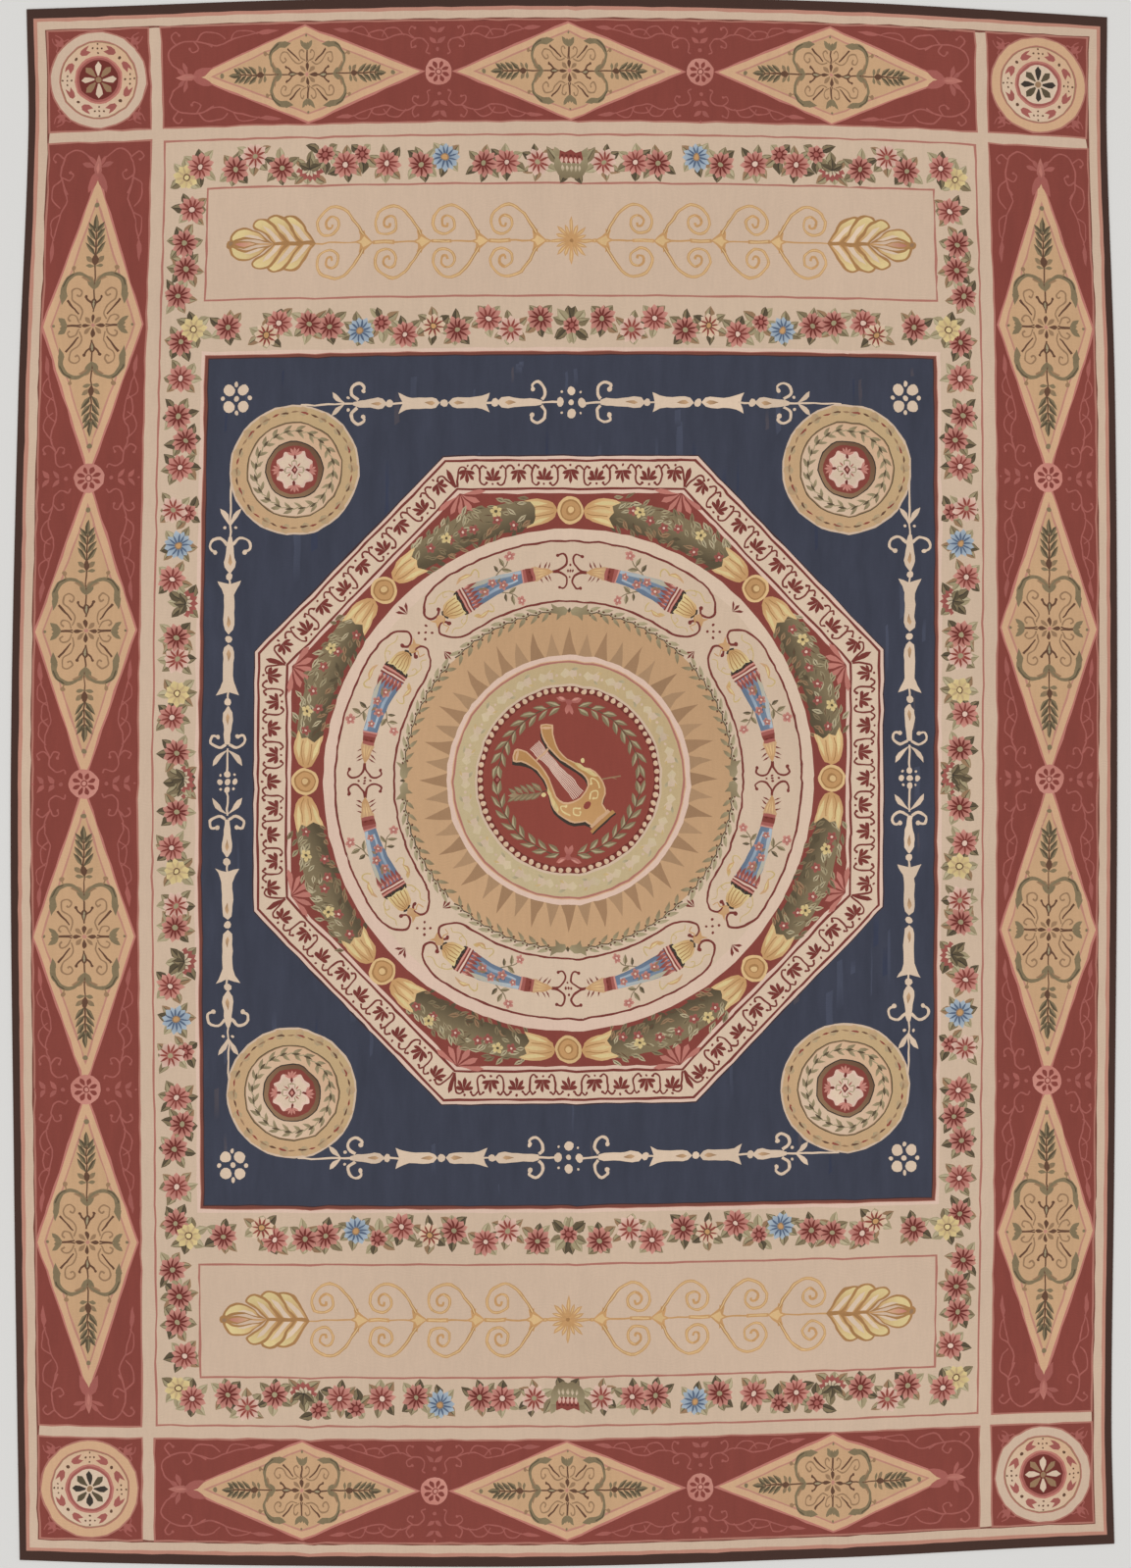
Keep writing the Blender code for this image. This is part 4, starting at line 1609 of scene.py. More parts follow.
    def sprigs(self, c: Cartoon) -> None:
        """Lay the flower sprigs, curls and thin threads on both sides of the torch.

        Args:
            c: The cartoon.
        """
        for side in (-1, 1):
            with c.moved(sy=side):
                c.stroke([(75, 8), (68, 11.5), (61, 16), (57, 22.5)], 1.2, Yarn.OLIVE, 1.0, 3)
                c.leaf(67, 12, 200, 10, 4.2, LEAF_TONES[0])
                c.leaf(64, 14.4, 78, 10.5, 4.2, LEAF_TONES[0])
                c.leaf(70.5, 11, 72, 9, 3.8, LEAF_TONES[1])
                for k in range(5):
                    c.blade(56, 23, 72 * k + 20, 5.4, 4.0, Yarn.ROSE, Yarn.PINK, 0.62, 0.8, sides=2)
                c.disc(56, 23, 1.3, Yarn.PINK_WHITE, count=6)
                c.lay(smooth([(95, 19), (100, 23.4), (107, 23), (112, 18.4), (106, 20.0),
                              (101, 19.4)], 2), Yarn.GOLD, Yarn.TAN, ((95, 20), (112, 20)))
                c.lay(smooth([(96.5, 19.6), (101, 22), (107, 21.4), (102, 20.2)], 2), Yarn.BUTTER)
                c.stroke([(96, 20), (90, 23), (88, 19), (90, 14)], 1.5, Yarn.STRAW, 1.2, 3)
                c.stroke([(117, 13), (121, 17.4), (126, 18.6), (127.6, 15.0), (124.4, 13.6)], 1.1,
                         Yarn.STRAW, 0.9, 3)
                c.stroke([(123, 18.6), (131, 20), (138, 16.4), (143, 19)], 1.1, Yarn.STRAW, 0.8, 3)
        c.blade(104, -21, 20, 9, 4.0, Yarn.GOLD, Yarn.STRAW, sides=2)


@dataclass
class Rings:
    """Rings round the centre: pale ring with torches, vine, rays, and the beaded inner rings."""

    oval: Point = (0.991, 1.011)
    band: float = 208.0
    half_line: float = 30.0
    vine: float = 168.0
    rays_count: int = 48
    ray_foot: float = 124.0
    ray_tips: tuple[float, float] = (28.0, 23.5)
    ray_lean: float = 2.6
    torch: Torch = field(default_factory=Torch)

    def draw(self, c: Cartoon) -> None:
        """Draw the rings from the outside in.

        Args:
            c: The cartoon.
        """
        with c.moved(sx=self.oval[0], sy=self.oval[1]):
            self.pale_ring(c)
            self.rays(c)
            self.vine_ring(c)
            self.inner_rings(c)

    def pale_ring(self, c: Cartoon) -> None:
        """Draw the widest ring: four lined panels, each with two torches that meet.

        Args:
            c: The cartoon.
        """
        c.disc(0, 0, 250.0, Yarn.PINK_WHITE, count=120, tip=Yarn.CREAM_PALE)
        c.disc(0, 0, 237.0, Yarn.CREAM_PALE, count=110, tip=Yarn.CREAM_WARM)
        whole = 2 * math.pi * self.band
        with c.bent(self.band):
            for k in range(4):
                with c.moved(whole * k / 4):
                    for side in (-1, 1):
                        with c.moved(sx=side):
                            self.half_panel(c, whole / 8)
                    for dx, dy in ((0, 0), (0, 6.2), (0, -6.2), (2.6, 0), (-2.6, 0)):
                        c.disc(dx, dy, 1.15, Yarn.RED_LINE, squash=1.3, count=6)
                with c.moved(whole * (k + 0.5) / 4):
                    for dx, dy in ((0, 0), (4.6, 4.6), (-4.6, 4.6), (4.6, -4.6), (-4.6, -4.6)):
                        c.disc(dx, dy, 1.5, Yarn.RED_LINE, count=6)
                    for side in (-1, 1):
                        with c.moved(sy=side):
                            for turn in (55, 90, 125):
                                c.blade(0, 27, turn, 11, 2.8, Yarn.RED_LINE, peak=0.7, blunt=0.7,
                                        sides=2)

    def half_panel(self, c: Cartoon, half: float) -> None:
        """Draw half of one lined panel, from its middle to the diagonal.

        Args:
            c: The cartoon.
            half: Half the panel's length along the ring.
        """
        yarn, t = Yarn.RED_LINE, self.half_line
        for side in (-1, 1):
            with c.moved(sy=side):
                run = [(s * (half - 44.0) / 14, t) for s in range(15)]
                c.stroke(run, 2.1, yarn, 2.1, 1)
                c.stroke([(half - 44, t), (half - 30, 28.6), (half - 17.5, 22), (half - 11.2, 13),
                          (half - 13.6, 6.4), (half - 20.4, 4.2), (half - 25.2, 8.4)], 2.1, yarn,
                         2.4, 4)
                c.disc(half - 24.6, 9.0, 2.3, yarn, count=7)
                c.curl([(17.5, 0.2), (11, 1.2), (4.6, 5.8), (3.2, 12), (6.6, 17), (11.4, 15.8)],
                       2.3, yarn, 1.8, 3)
        self.torch.draw(c)

    def rays(self, c: Cartoon) -> None:
        """Draw the tan ring and its 48 pointed rays.

        Args:
            c: The cartoon.
        """
        c.disc(0, 0, self.vine, Yarn.TAN, count=96, tip=Yarn.TAN_DEEP)
        foot = self.ray_foot
        step = 2 * math.pi * foot / self.rays_count
        with c.bent(foot):
            for k in range(self.rays_count):
                turned = k if k <= self.rays_count // 2 else k - self.rays_count
                with c.moved(turned * step):
                    lean = -self.ray_lean * (((k + 6) % 12 - 6) / 6.0)
                    tip = self.ray_tips[k % 2]
                    yarn = (Yarn.RAY_DARK, Yarn.RAY)[k % 2]
                    c.lay([(-step * 0.47, -1), (step * 0.47, -1),
                           (step * 0.18 + lean * 0.4, tip * 0.45), (lean, tip),
                           (-step * 0.22 + lean * 0.4, tip * 0.5)], yarn)

    def vine_ring(self, c: Cartoon) -> None:
        """Draw the thin vine with leaves outside and inside it, and a bow on each axis.

        Args:
            c: The cartoon.
        """
        whole = 2 * math.pi * self.vine
        with c.bent(self.vine):
            for k in range(4):
                with c.moved(whole * k / 4):
                    for side in (-1, 1):
                        with c.moved(sx=side):
                            self.vine_half(c, whole / 8)
                            self.bow(c)
                    c.blade(0, -2, 90, 6, 3.4, Yarn.OLIVE_DARK, sides=2)

    def vine_half(self, c: Cartoon, half: float) -> None:
        """Draw an eighth of the vine, from the axis to the diagonal.

        Args:
            c: The cartoon.
            half: The vine's length along the ring from the axis to the diagonal.
        """
        yarn = Yarn.OLIVE_DARK
        pitch = (half - 20) / 9
        run = [(16 + k * pitch / 2, 0.9 * (-1) ** k) for k in range(19)]
        c.stroke(run, 1.3, yarn, 1.3, 1)
        for k in range(9):
            with c.moved(20 + k * pitch, 0):
                c.blade(-2, 0.5, 24, 14.5, 4.6, Yarn.SAGE, Yarn.OLIVE_PALE, sides=2)
                c.blade(-1, 0.5, 24, 12.5, 1.2, Yarn.OLIVE_PALE, sides=1)
                c.blade(0, -0.5, -38, 13.0, 4.2, Yarn.OLIVE_PALE, Yarn.OLIVE, sides=2)
                for dx, dy in ((-2, 2.2), (0.4, -2.2), (2.2, 1.6)):
                    c.disc(dx, dy, 1.2, Yarn.BARK, count=6)

    def bow(self, c: Cartoon) -> None:
        """Lay half of the leafy bow in the vine.

        Args:
            c: The cartoon.
        """
        c.lay(smooth([(1, 0.5), (6, 4.5), (12, 4.0), (18, 8.6), (17, 2.4), (20, -1.6), (13.5, -2.2),
                      (14, -8.6), (9, -4.6), (3.5, -3.8)], 2), Yarn.OLIVE_PALE, Yarn.OLIVE,
              ((2, 6), (16, -8)))

    def inner_rings(self, c: Cartoon) -> None:
        """Draw the rose-lined ring, the ring of pale leaves and the row of beads.

        Args:
            c: The cartoon.
        """
        c.disc(0, 0, 124.4, Yarn.PINK_WHITE, count=84)
        c.disc(0, 0, 119.4, Yarn.PEACH, count=84)
        c.disc(0, 0, 118.4, Yarn.ROSE_LINE, count=84)
        c.disc(0, 0, 116.4, Yarn.STONE, count=84, tip=Yarn.TAN_GREEN)
        with c.bent(105.5):
            whole = 2 * math.pi * 105.5
            for k in range(28):
                with c.moved(whole * k / 28, 0.8 * (-1) ** k, sy=(-1) ** k):
                    c.lay(smooth([(-9, -1), (-4, 4.6), (1, 1.6), (6, 6.6), (8, 0), (5, -6.4),
                                  (0, -2.6), (-5, -5.2)], 2), Yarn.SAND, Yarn.CREAM, ((-9, 0), (8, 0)))
                    c.blade(9.6, 6.0, 200, 7.5, 3.0, Yarn.SAGE, Yarn.OLIVE_PALE, sides=2)
                    c.blade(9.6, -6.0, 160, 6.5, 2.6, Yarn.TAN_GREEN, Yarn.STRAW, sides=2)
                    c.disc(11.5, 0, 1.5, Yarn.CREAM, count=6)
        c.disc(0, 0, 95.6, Yarn.CREAM_WARM, count=72)
        c.disc(0, 0, 93.2, Yarn.RED_DEEP, count=72)
        for k in range(72):
            angle = math.radians(5 * k)
            x, y = 90.2 * math.cos(angle), 90.2 * math.sin(angle)
            c.disc(x, y, 2.75, Yarn.PEACH, count=8, tip=Yarn.CREAM_PALE)
        c.disc(0, 0, 87.0, Yarn.BRICK, count=70)


@dataclass
class Centre:
    """Laurel wreath round a lyre in the middle disc."""

    ring: float = 73.0
    oval: Point = (0.991, 1.011)

    def draw(self, c: Cartoon) -> None:
        """Draw the wreath, the sprays, then the lyre.

        Args:
            c: The cartoon.
        """
        with c.moved(sx=self.oval[0], sy=self.oval[1]):
            self.wreath(c)
            self.sprays(c)
            with c.moved(-3.5, 0.0, 42.0):
                self.lyre(c)

    def wreath(self, c: Cartoon) -> None:
        """Lay the four branches that run from the bows above and below to the sides.

        Args:
            c: The cartoon.
        """
        half = math.pi * self.ring / 2
        for sy in (-1, 1):
            for sx in (-1, 1):
                with c.moved(sx=sx, sy=sy), c.bent(self.ring):
                    c.stroke([(9, 2.5), (half * 0.5, 0.6), (half - 7, 0)], 1.1, Yarn.OLIVE_DARK,
                             0.9, 6)
                    for k in range(8):
                        with c.moved(9 + k * (half - 16) / 7.6, 0.5):
                            for side in (-1, 1):
                                turn = side * (26 if k < 7 else 14)
                                c.blade(0, side * 0.6, turn, 15.0, 5.4, Yarn.OLIVE, sides=2)
                                c.blade(0.6, side * 0.6, turn, 13.4, 3.8, Yarn.SAGE,
                                        Yarn.OLIVE_PALE, half=1, sides=2)
        for sy in (-1, 1):
            with c.moved(y=sy * (self.ring + 3.0), sy=sy):
                self.bow(c)
        for sx in (-1, 1):
            c.lay([(sx * self.ring + 4, 0), (sx * self.ring, 4.6), (sx * self.ring - 4, 0),
                   (sx * self.ring, -4.6)], Yarn.RED_DEEP)
            c.disc(sx * self.ring, 0, 2.0, Yarn.ROSE, count=7)

    def bow(self, c: Cartoon) -> None:
        """Lay a small pink bow of four loops.

        Args:
            c: The cartoon.
        """
        for turn, length, width in ((20, 14, 5.6), (158, 14, 5.2), (-72, 13, 4.8), (-104, 12, 4.4)):
            c.blade(0, 1, turn, length, width, Yarn.ROSE, Yarn.ROSE_PALE, 0.6, 0.8)
        c.blade(3, 3, 24, 9, 2.4, Yarn.PINK, sides=2)
        c.blade(-4, 3, 152, 8, 2.6, Yarn.PINK, sides=2)
        c.disc(0, 1.0, 3.2, Yarn.ROSE, count=8)

    def sprays(self, c: Cartoon) -> None:
        """Lay the leaf spray left of the lyre and the thin twig right of it.

        Args:
            c: The cartoon.
        """
        c.stroke([(-18, -9.5), (-38, -14.5), (-58, -15.5)], 1.1, Yarn.OLIVE_DARK, 0.8, 3)
        for k in range(5):
            x, y = -27 - 6.4 * k, -11.6 - 0.9 * k
            for side, turn in ((1, 140), (-1, 216)):
                c.blade(x, y, turn, 14.0 - 0.6 * k, 5.0, Yarn.OLIVE, sides=2)
                c.blade(x - 0.6, y, turn, 12.4 - 0.6 * k, 3.2, Yarn.UMBER, Yarn.OLIVE_PALE,
                        half=-side, sides=2)
        c.blade(-50, -15.0, 184, 11.5, 4.6, Yarn.UMBER, Yarn.OLIVE_PALE, sides=2)
        c.stroke([(34, 0.5), (44, 2.2), (53, 3.6)], 1.6, Yarn.UMBER, 1.2, 2)
        c.stroke([(44, 2.2), (49, 0.6)], 1.0, Yarn.UMBER, 0.7, 1)

    def lyre(self, c: Cartoon) -> None:
        """Draw the lyre upright: Y points from its foot to its arms' ends.

        Args:
            c: The cartoon.
        """
        shade, body, rim, light = Yarn.DARK, Yarn.GOLD_DEEP, Yarn.PEACH, Yarn.BUTTER
        right = [(0, -52), (10.5, -52), (12.5, -44), (21, -38.5), (27.5, -28), (28.5, -15), (24, -3),
                 (18.4, 8), (15.2, 20), (16.4, 33), (21.6, 43), (27, 49.5), (18.5, 57.0), (13, 52),
                 (9.4, 42), (8.6, 30), (9.6, 18), (13.0, 6), (17.0, -6), (16.4, -15.5), (9.0, -21.5),
                 (0, -21.5)]
        outline = right[:-1] + [(-x, y) for x, y in reversed(right[:-1])]
        for dx, dy, yarn in ((-2.4, -2.2, shade), (0.0, 0.0, rim)):
            with c.moved(dx, dy):
                c.lay(smooth(outline + outline[:1], 2)[:-1], yarn)
        thick = [(0, -50.6), (9.2, -50.6), (11, -43.4), (19.6, -37.6), (26, -27.6), (27, -15),
                 (22.6, -3.4), (17.2, 7.6), (13.9, 20), (15.1, 33.4), (20.4, 43.6), (25, 49.6),
                 (18.6, 55.2), (14.2, 51), (10.8, 41.6), (10.0, 30), (11.0, 18), (14.4, 6),
                 (18.6, -6), (17.8, -16.6), (9.4, -23.0), (0, -23.0)]
        inner = thick[:-1] + [(-x, y) for x, y in reversed(thick[:-1])]
        c.lay(smooth(inner + inner[:1], 2)[:-1], body, Yarn.GOLD, ((14, 0), (-20, -30)))
        c.lay([(-12.5, -54.6), (12.5, -54.6), (12.5, -50.8), (-12.5, -50.8)], rim)
        c.lay([(-15.5, -58.6), (15.5, -58.6), (15.5, -54.8), (-15.5, -54.8)], Yarn.GOLD_DEEP)
        c.lay([(-15.5, -60.2), (15.5, -60.2), (15.5, -58.4), (-15.5, -58.4)], shade)
        for side in (-1, 1):
            with c.moved(sx=side):
                c.blade(15, 55.0, -38, 13, 2.8, rim, sides=2)
                c.curl([(6, -31), (12, -27), (16, -31), (12.4, -35.6), (9.0, -33)], 1.6, light, 1.3)
                c.curl([(20, -30), (23, -23), (20.6, -17), (16.8, -20.4)], 1.6, light, 1.3)
                for k in range(6):
                    c.blade(27.5 - 0.8 * k, -20 + 3.6 * k, 122, 10.5, 3.4, Yarn.BUTTER, Yarn.STRAW,
                            sides=2)
                c.disc(26.5, 3.5, 2.4, light, count=7)
        c.disc(0, -33.5, 3.9, Yarn.BRICK, count=10)
        for k in range(8):
            x = -7.0 + 2.0 * k
            c.stroke([(x * 0.92, 47), (x * 0.62, 20), (x * 0.98, -20.5)], 1.0, Yarn.PINK_WHITE, 1.0, 3)
        c.stroke([(-8.4, 34), (8.4, 34)], 2.0, Yarn.PEACH, 2.0, 1)


MOTIFS = (Bands(), Roundel(), Borders(), Garland(), ScrollPanels(), BlueField(), Octagon(), Rings(),
          Centre())


STATIONS = (0.00, 0.08, 0.25, 0.50, 0.75, 0.92, 1.00)
BOWS_MM = {
    "left": (-30, -35, -7, 14, 5, -5, -11),
    "right": (-14, -15, 8, 14, 6, -2, 6),
    "far": (-19, -11, 7, 17, 2, -26, -41),
    "near": (0, 8, 16, 17, -7, -34, -45),
}


@dataclass(frozen=True)
class Crease:
    """A soft fold line that runs the whole length of the carpet, in metres."""

    x: float
    height: float
    width: float


@dataclass(frozen=True)
class Cloth:
    """The cloth as it lies: its uneven outline, creases and low swells, in metres."""

    half_width: float = 1.520
    half_length: float = 2.160
    thickness: float = 0.0040
    edge_thickness: float = 0.0030
    edge_round: float = 0.010
    swell_height: float = 0.0010
    swell_lengths: Point = (0.74, 1.10)
    creases: tuple[Crease, ...] = (
        Crease(-0.704, 0.0012, 0.022), Crease(0.036, 0.0018, 0.026), Crease(0.776, 0.0012, 0.022))

    def bow(self, side: str, t: np.ndarray | float) -> np.ndarray:
        """Read how far a side stands out of the plain rectangle.

        Args:
            side: The side's name.
            t: How far along the side, from 0 to 1.

        Returns:
            The distance at each t.
        """
        at, values = np.array(STATIONS), np.array(BOWS_MM[side]) * 0.001
        low = np.maximum(np.arange(len(at)) - 1, 0)
        high = np.minimum(np.arange(len(at)) + 1, len(at) - 1)
        slope = (values[high] - values[low]) / (at[high] - at[low])
        i = np.clip(np.searchsorted(at, t, side="right") - 1, 0, len(at) - 2)
        span = at[i + 1] - at[i]
        s = (t - at[i]) / span
        start = (2 * s**3 - 3 * s**2 + 1) * values[i] + (s**3 - 2 * s**2 + s) * span * slope[i]
        end = (3 * s**2 - 2 * s**3) * values[i + 1] + (s**3 - s**2) * span * slope[i + 1]
        return start + end

    def corner(self, sx: int, sy: int) -> np.ndarray:
        """Give the outline's corner on one side across and one side along.

        Args:
            sx: Which side, 1 for right and -1 for left.
            sy: Which end, 1 for far and -1 for near.

        Returns:
            The corner.
        """
        out_x = self.bow("left" if sx < 0 else "right", 0.0 if sy > 0 else 1.0)
        out_y = self.bow("far" if sy > 0 else "near", 0.0 if sx < 0 else 1.0)
        return np.array([sx * (self.half_width + out_x), sy * (self.half_length + out_y)])

    def outline(self, side: str, t: np.ndarray) -> np.ndarray:
        """Give the points of one side of the outline.

        Args:
            side: The side's name.
            t: How far along the side, from 0 to 1.

        Returns:
            One row for each t.
        """
        bow = self.bow(side, t)
        if side in ("left", "right"):
            sx = -1 if side == "left" else 1
            run = self.corner(sx, 1)[1] * (1 - t) + self.corner(sx, -1)[1] * t
            return np.column_stack([sx * (self.half_width + bow), run])
        sy = 1 if side == "far" else -1
        run = self.corner(-1, sy)[0] * (1 - t) + self.corner(1, sy)[0] * t
        return np.column_stack([run, sy * (self.half_length + bow)])

    def spread(self, u: np.ndarray, v: np.ndarray) -> np.ndarray:
        """Place points of the plain rectangle in the bowed outline.

        Args:
            u: From 0 on the left side to 1 on the right.
            v: From 0 on the far side to 1 on the near.

        Returns:
            Rows of x and y.
        """
        a, b = u[:, None], v[:, None]
        across = self.outline("left", v) * (1 - a) + self.outline("right", v) * a
        along = self.outline("far", u) * (1 - b) + self.outline("near", u) * b
        far = self.corner(-1, 1) * (1 - a) + self.corner(1, 1) * a
        near = self.corner(-1, -1) * (1 - a) + self.corner(1, -1) * a
        return across + along - far * (1 - b) - near * b

    def middle(self) -> np.ndarray:
        """Give the middle of the outline's box."""
        t = np.linspace(0.0, 1.0, 400)
        rim = np.vstack([self.outline(side, t) for side in BOWS_MM])
        return (rim.min(axis=0) + rim.max(axis=0)) / 2

    def swell(self, distance: np.ndarray, length: float) -> np.ndarray:
        """Give a smooth wave between 0 and 1 that repeats over a length."""
        tent = 1.0 - np.abs(2.0 * ((distance / length) % 1.0) - 1.0)
        return tent * tent * (3.0 - 2.0 * tent)

    def height(self, x: np.ndarray, y: np.ndarray, rim: np.ndarray | None = None) -> np.ndarray:
        """Give the height of the upper face.

        Args:
            x: Places across, before the outline is centred.
            y: Places along, before the outline is centred.
            rim: Distance in from the edge, or None well inside it.

        Returns:
            The heights.
        """
        z = np.full(len(x), self.thickness)
        for crease in self.creases:
            z += crease.height * np.exp(-(((x - crease.x) / crease.width) ** 2))
        z += self.swell_height * self.swell(x, self.swell_lengths[0]) * self.swell(
            y, self.swell_lengths[1])
        if rim is None:
            return z
        share = np.clip(rim / self.edge_round, 0.0, 1.0)
        return self.edge_thickness * (1 - share) + z * share


@dataclass(frozen=True)
class Hand:
    """The unevenness of hand weaving: every line of the cartoon wavers a little."""

    seed: int = 11
    waves: int = 18
    reach: float = 0.17
    drift: Point = (4.7, 1.5)
    fold_pull: float = 1.2

    def guide(self, p: np.ndarray, bands: Bands, creases: Sequence[float]) -> np.ndarray:
        """Move cartoon points as the weaver's hand and the folds move them.

        Args:
            p: The points.
            bands: The carpet's grounds, for its outer size.
            creases: Where the folds lie, in steps.

        Returns:
            The moved points.
        """
        rng = random.Random(self.seed)
        x, y = p[:, 0], p[:, 1]
        rim = np.minimum(bands.half_x - np.abs(x), bands.half_y - np.abs(y))
        fade = np.clip(rim / 14.0, 0.0, 1.0)
        shift = np.zeros_like(p)
        for _ in range(self.waves):
            length = rng.uniform(6.0, 26.0)
            turn, heading = rng.uniform(0, 2 * math.pi), rng.uniform(0, 2 * math.pi)
            phase = rng.uniform(0, 2 * math.pi)
            size = self.reach * min(1.0, length / 12.0)
            run = (x * math.cos(turn) + y * math.sin(turn)) * 2 * math.pi / length
            wave = size * np.sin(run + phase)
            shift += wave[:, None] * np.array([math.cos(heading), math.sin(heading)])
        shift *= fade[:, None]
        inside = (1 - (np.abs(x) / bands.half_x) ** 6) * (1 - (np.abs(y) / bands.half_y) ** 6)
        shift += inside[:, None] * np.array(self.drift)
        for at in creases:
            shift[:, 1] -= self.fold_pull * fade * np.exp(-(((x - at) / 7.0) ** 2))
        return p + shift


@dataclass(frozen=True)
class Panel:
    """One rectangle of the cartoon that is woven as a piece of its own."""

    name: str
    x: Point
    y: Point


@dataclass
class Loom:
    """Turns the cartoon into panels of cloth with their patches fitted edge to edge."""

    cartoon: Cartoon
    bands: Bands
    cloth: Cloth
    hand: Hand
    material: bpy.types.Material
    pace: float = 16.0
    fine_pace: float = 7.0
    seam_x: float = 376.0
    seam_y: float = 430.5
    veil: float = 0.0
    seed: int = 5

    def panels(self) -> list[Panel]:
        """List the twelve panels: the ends, the sides and the field."""
        found = []
        far, near = (self.seam_y, self.bands.half_y), (-self.bands.half_y, -self.seam_y)
        for side, sx in (("left", -1), ("right", 1)):
            outer = tuple(sorted((sx * self.bands.half_x, 0.0)))
            strip = tuple(sorted((sx * self.bands.half_x, sx * self.seam_x)))
            inner = tuple(sorted((sx * self.seam_x, 0.0)))
            for end, rows, half in (("far", far, (0.0, self.seam_y)),
                                    ("near", near, (-self.seam_y, 0.0))):
                found.append(Panel(f"end_{end}_{side}", outer, rows))
                found.append(Panel(f"side_{end}_{side}", strip, half))
                found.append(Panel(f"field_{end}_{side}", inner, half))
        return found

    def grid(self, panel: Panel) -> np.ndarray:
        """Give the even points that keep the cloth's curve, with more beside the folds.

        Args:
            panel: The panel.

        Returns:
            The points.
        """
        steps = set(np.arange(-35, 36) * self.pace)
        for at in self.folds():
            steps.update(at + k * 4.5 for k in range(-4, 5))
        columns = sorted(steps | {-self.seam_x, self.seam_x, *panel.x})
        rows = sorted(set(np.arange(-50, 51) * self.pace) | {-self.seam_y, self.seam_y, *panel.y})
        columns = [x for x in columns if panel.x[0] <= x <= panel.x[1]]
        rows = [y for y in rows if panel.y[0] <= y <= panel.y[1]]
        return np.array([(x, y) for x in columns for y in rows])

    def folds(self) -> list[float]:
        """Give the folds' places in steps."""
        return [crease.x / self.cloth.half_width * self.bands.half_x
                for crease in self.cloth.creases]

    def densify(self, points: np.ndarray) -> np.ndarray:
        """Split an outline's long edges so that they can follow the cloth.

        Args:
            points: The outline's corners.

        Returns:
            The outline with more points.
        """
        ahead = np.roll(points, -1, axis=0)
        lengths = np.linalg.norm(ahead - points, axis=1)
        small = lengths.min() < 3.5
        parts = np.maximum(1, np.ceil(lengths / (self.fine_pace if small else self.pace)))
        if parts.max() <= 1:
            return points
        rows = []
        for start, end, count in zip(points, ahead, parts.astype(int)):
            share = (np.arange(count) / count)[:, None]
            rows.append(start * (1 - share) + end * share)
        return np.vstack(rows)

    def cut(self, panel: Panel) -> tuple[np.ndarray, np.ndarray, np.ndarray]:
        """Fit the cartoon's patches together inside one panel.

        Args:
            panel: The panel.

        Returns:
            The flat points, the triangles and each triangle's patch number.
        """
        (x0, x1), (y0, y1) = panel.x, panel.y
        points = [np.array([(x0, y0), (x1, y0), (x1, y1), (x0, y1)])]
        faces, owners, start = [[0, 1, 2, 3]], [-1], 4
        for number, patch in enumerate(self.cartoon.patches):
            low, high = patch.outline.min(axis=0), patch.outline.max(axis=0)
            if low[0] > x1 or high[0] < x0 or low[1] > y1 or high[1] < y0:
                continue
            outline = self.densify(patch.outline)
            points.append(outline)
            faces.append(list(range(start, start + len(outline))))
            owners.append(number)
            start += len(outline)
        points.append(self.grid(panel))
        flat = [Vector(row) for row in np.vstack(points).tolist()]
        made, _, cells, _, _, origins = delaunay_2d_cdt(flat, [], faces, 0, 1e-4, True)
        kept = [(cell, owners[max(origin)]) for cell, origin in zip(cells, origins)
                if origin and 0 in origin and len(cell) == 3]
        places = np.array([tuple(v) for v in made])
        triangles = np.array([cell for cell, _ in kept])
        patches = np.array([owner for _, owner in kept])
        a, b, c = (places[triangles[:, k]] for k in range(3))
        area = (b[:, 0] - a[:, 0]) * (c[:, 1] - a[:, 1]) - (b[:, 1] - a[:, 1]) * (c[:, 0] - a[:, 0])
        triangles[area < 0] = triangles[area < 0][:, ::-1]
        real = (np.abs(area) > 1e-7) & (patches >= 0)
        triangles, patches = triangles[real], patches[real]
        used, renamed = np.unique(triangles, return_inverse=True)
        return places[used], renamed.reshape(-1, 3), patches

    def dye(self, corners: np.ndarray, patches: np.ndarray) -> np.ndarray:
        """Give the colour of each corner of each triangle.

        Args:
            corners: The corners' cartoon places, three rows a triangle.
            patches: Each triangle's patch number.

        Returns:
            Rows of linear red, green and blue, and the share of streaks in the dye.
        """
        rng = random.Random(self.seed)
        table = []
        for patch in self.cartoon.patches:
            size = np.ptp(patch.outline, axis=0).max()
            lift = 1.0 + (rng.gauss(0.0, 0.035) if size < 60.0 else 0.0)
            run = patch.shade_to - patch.shade_from
            table.append((*(lift * part for part in LINEAR[patch.start]),
                          *(lift * part for part in LINEAR[patch.end]),
                          *patch.shade_from, *(run / max(float(run @ run), 1e-9)), patch.abrash))
        rows = np.repeat(np.array(table)[patches], 3, axis=0)
        share = ((corners - rows[:, 6:8]) * rows[:, 8:10]).sum(axis=1)
        share = np.clip(share, 0.0, 1.0)[:, None]
        colour = rows[:, 0:3] * (1 - share) + rows[:, 3:6] * share
        colour = np.clip((colour - self.veil) / (1.0 - self.veil), 0.0, 1.0)
        return np.column_stack([colour, rows[:, 10]])

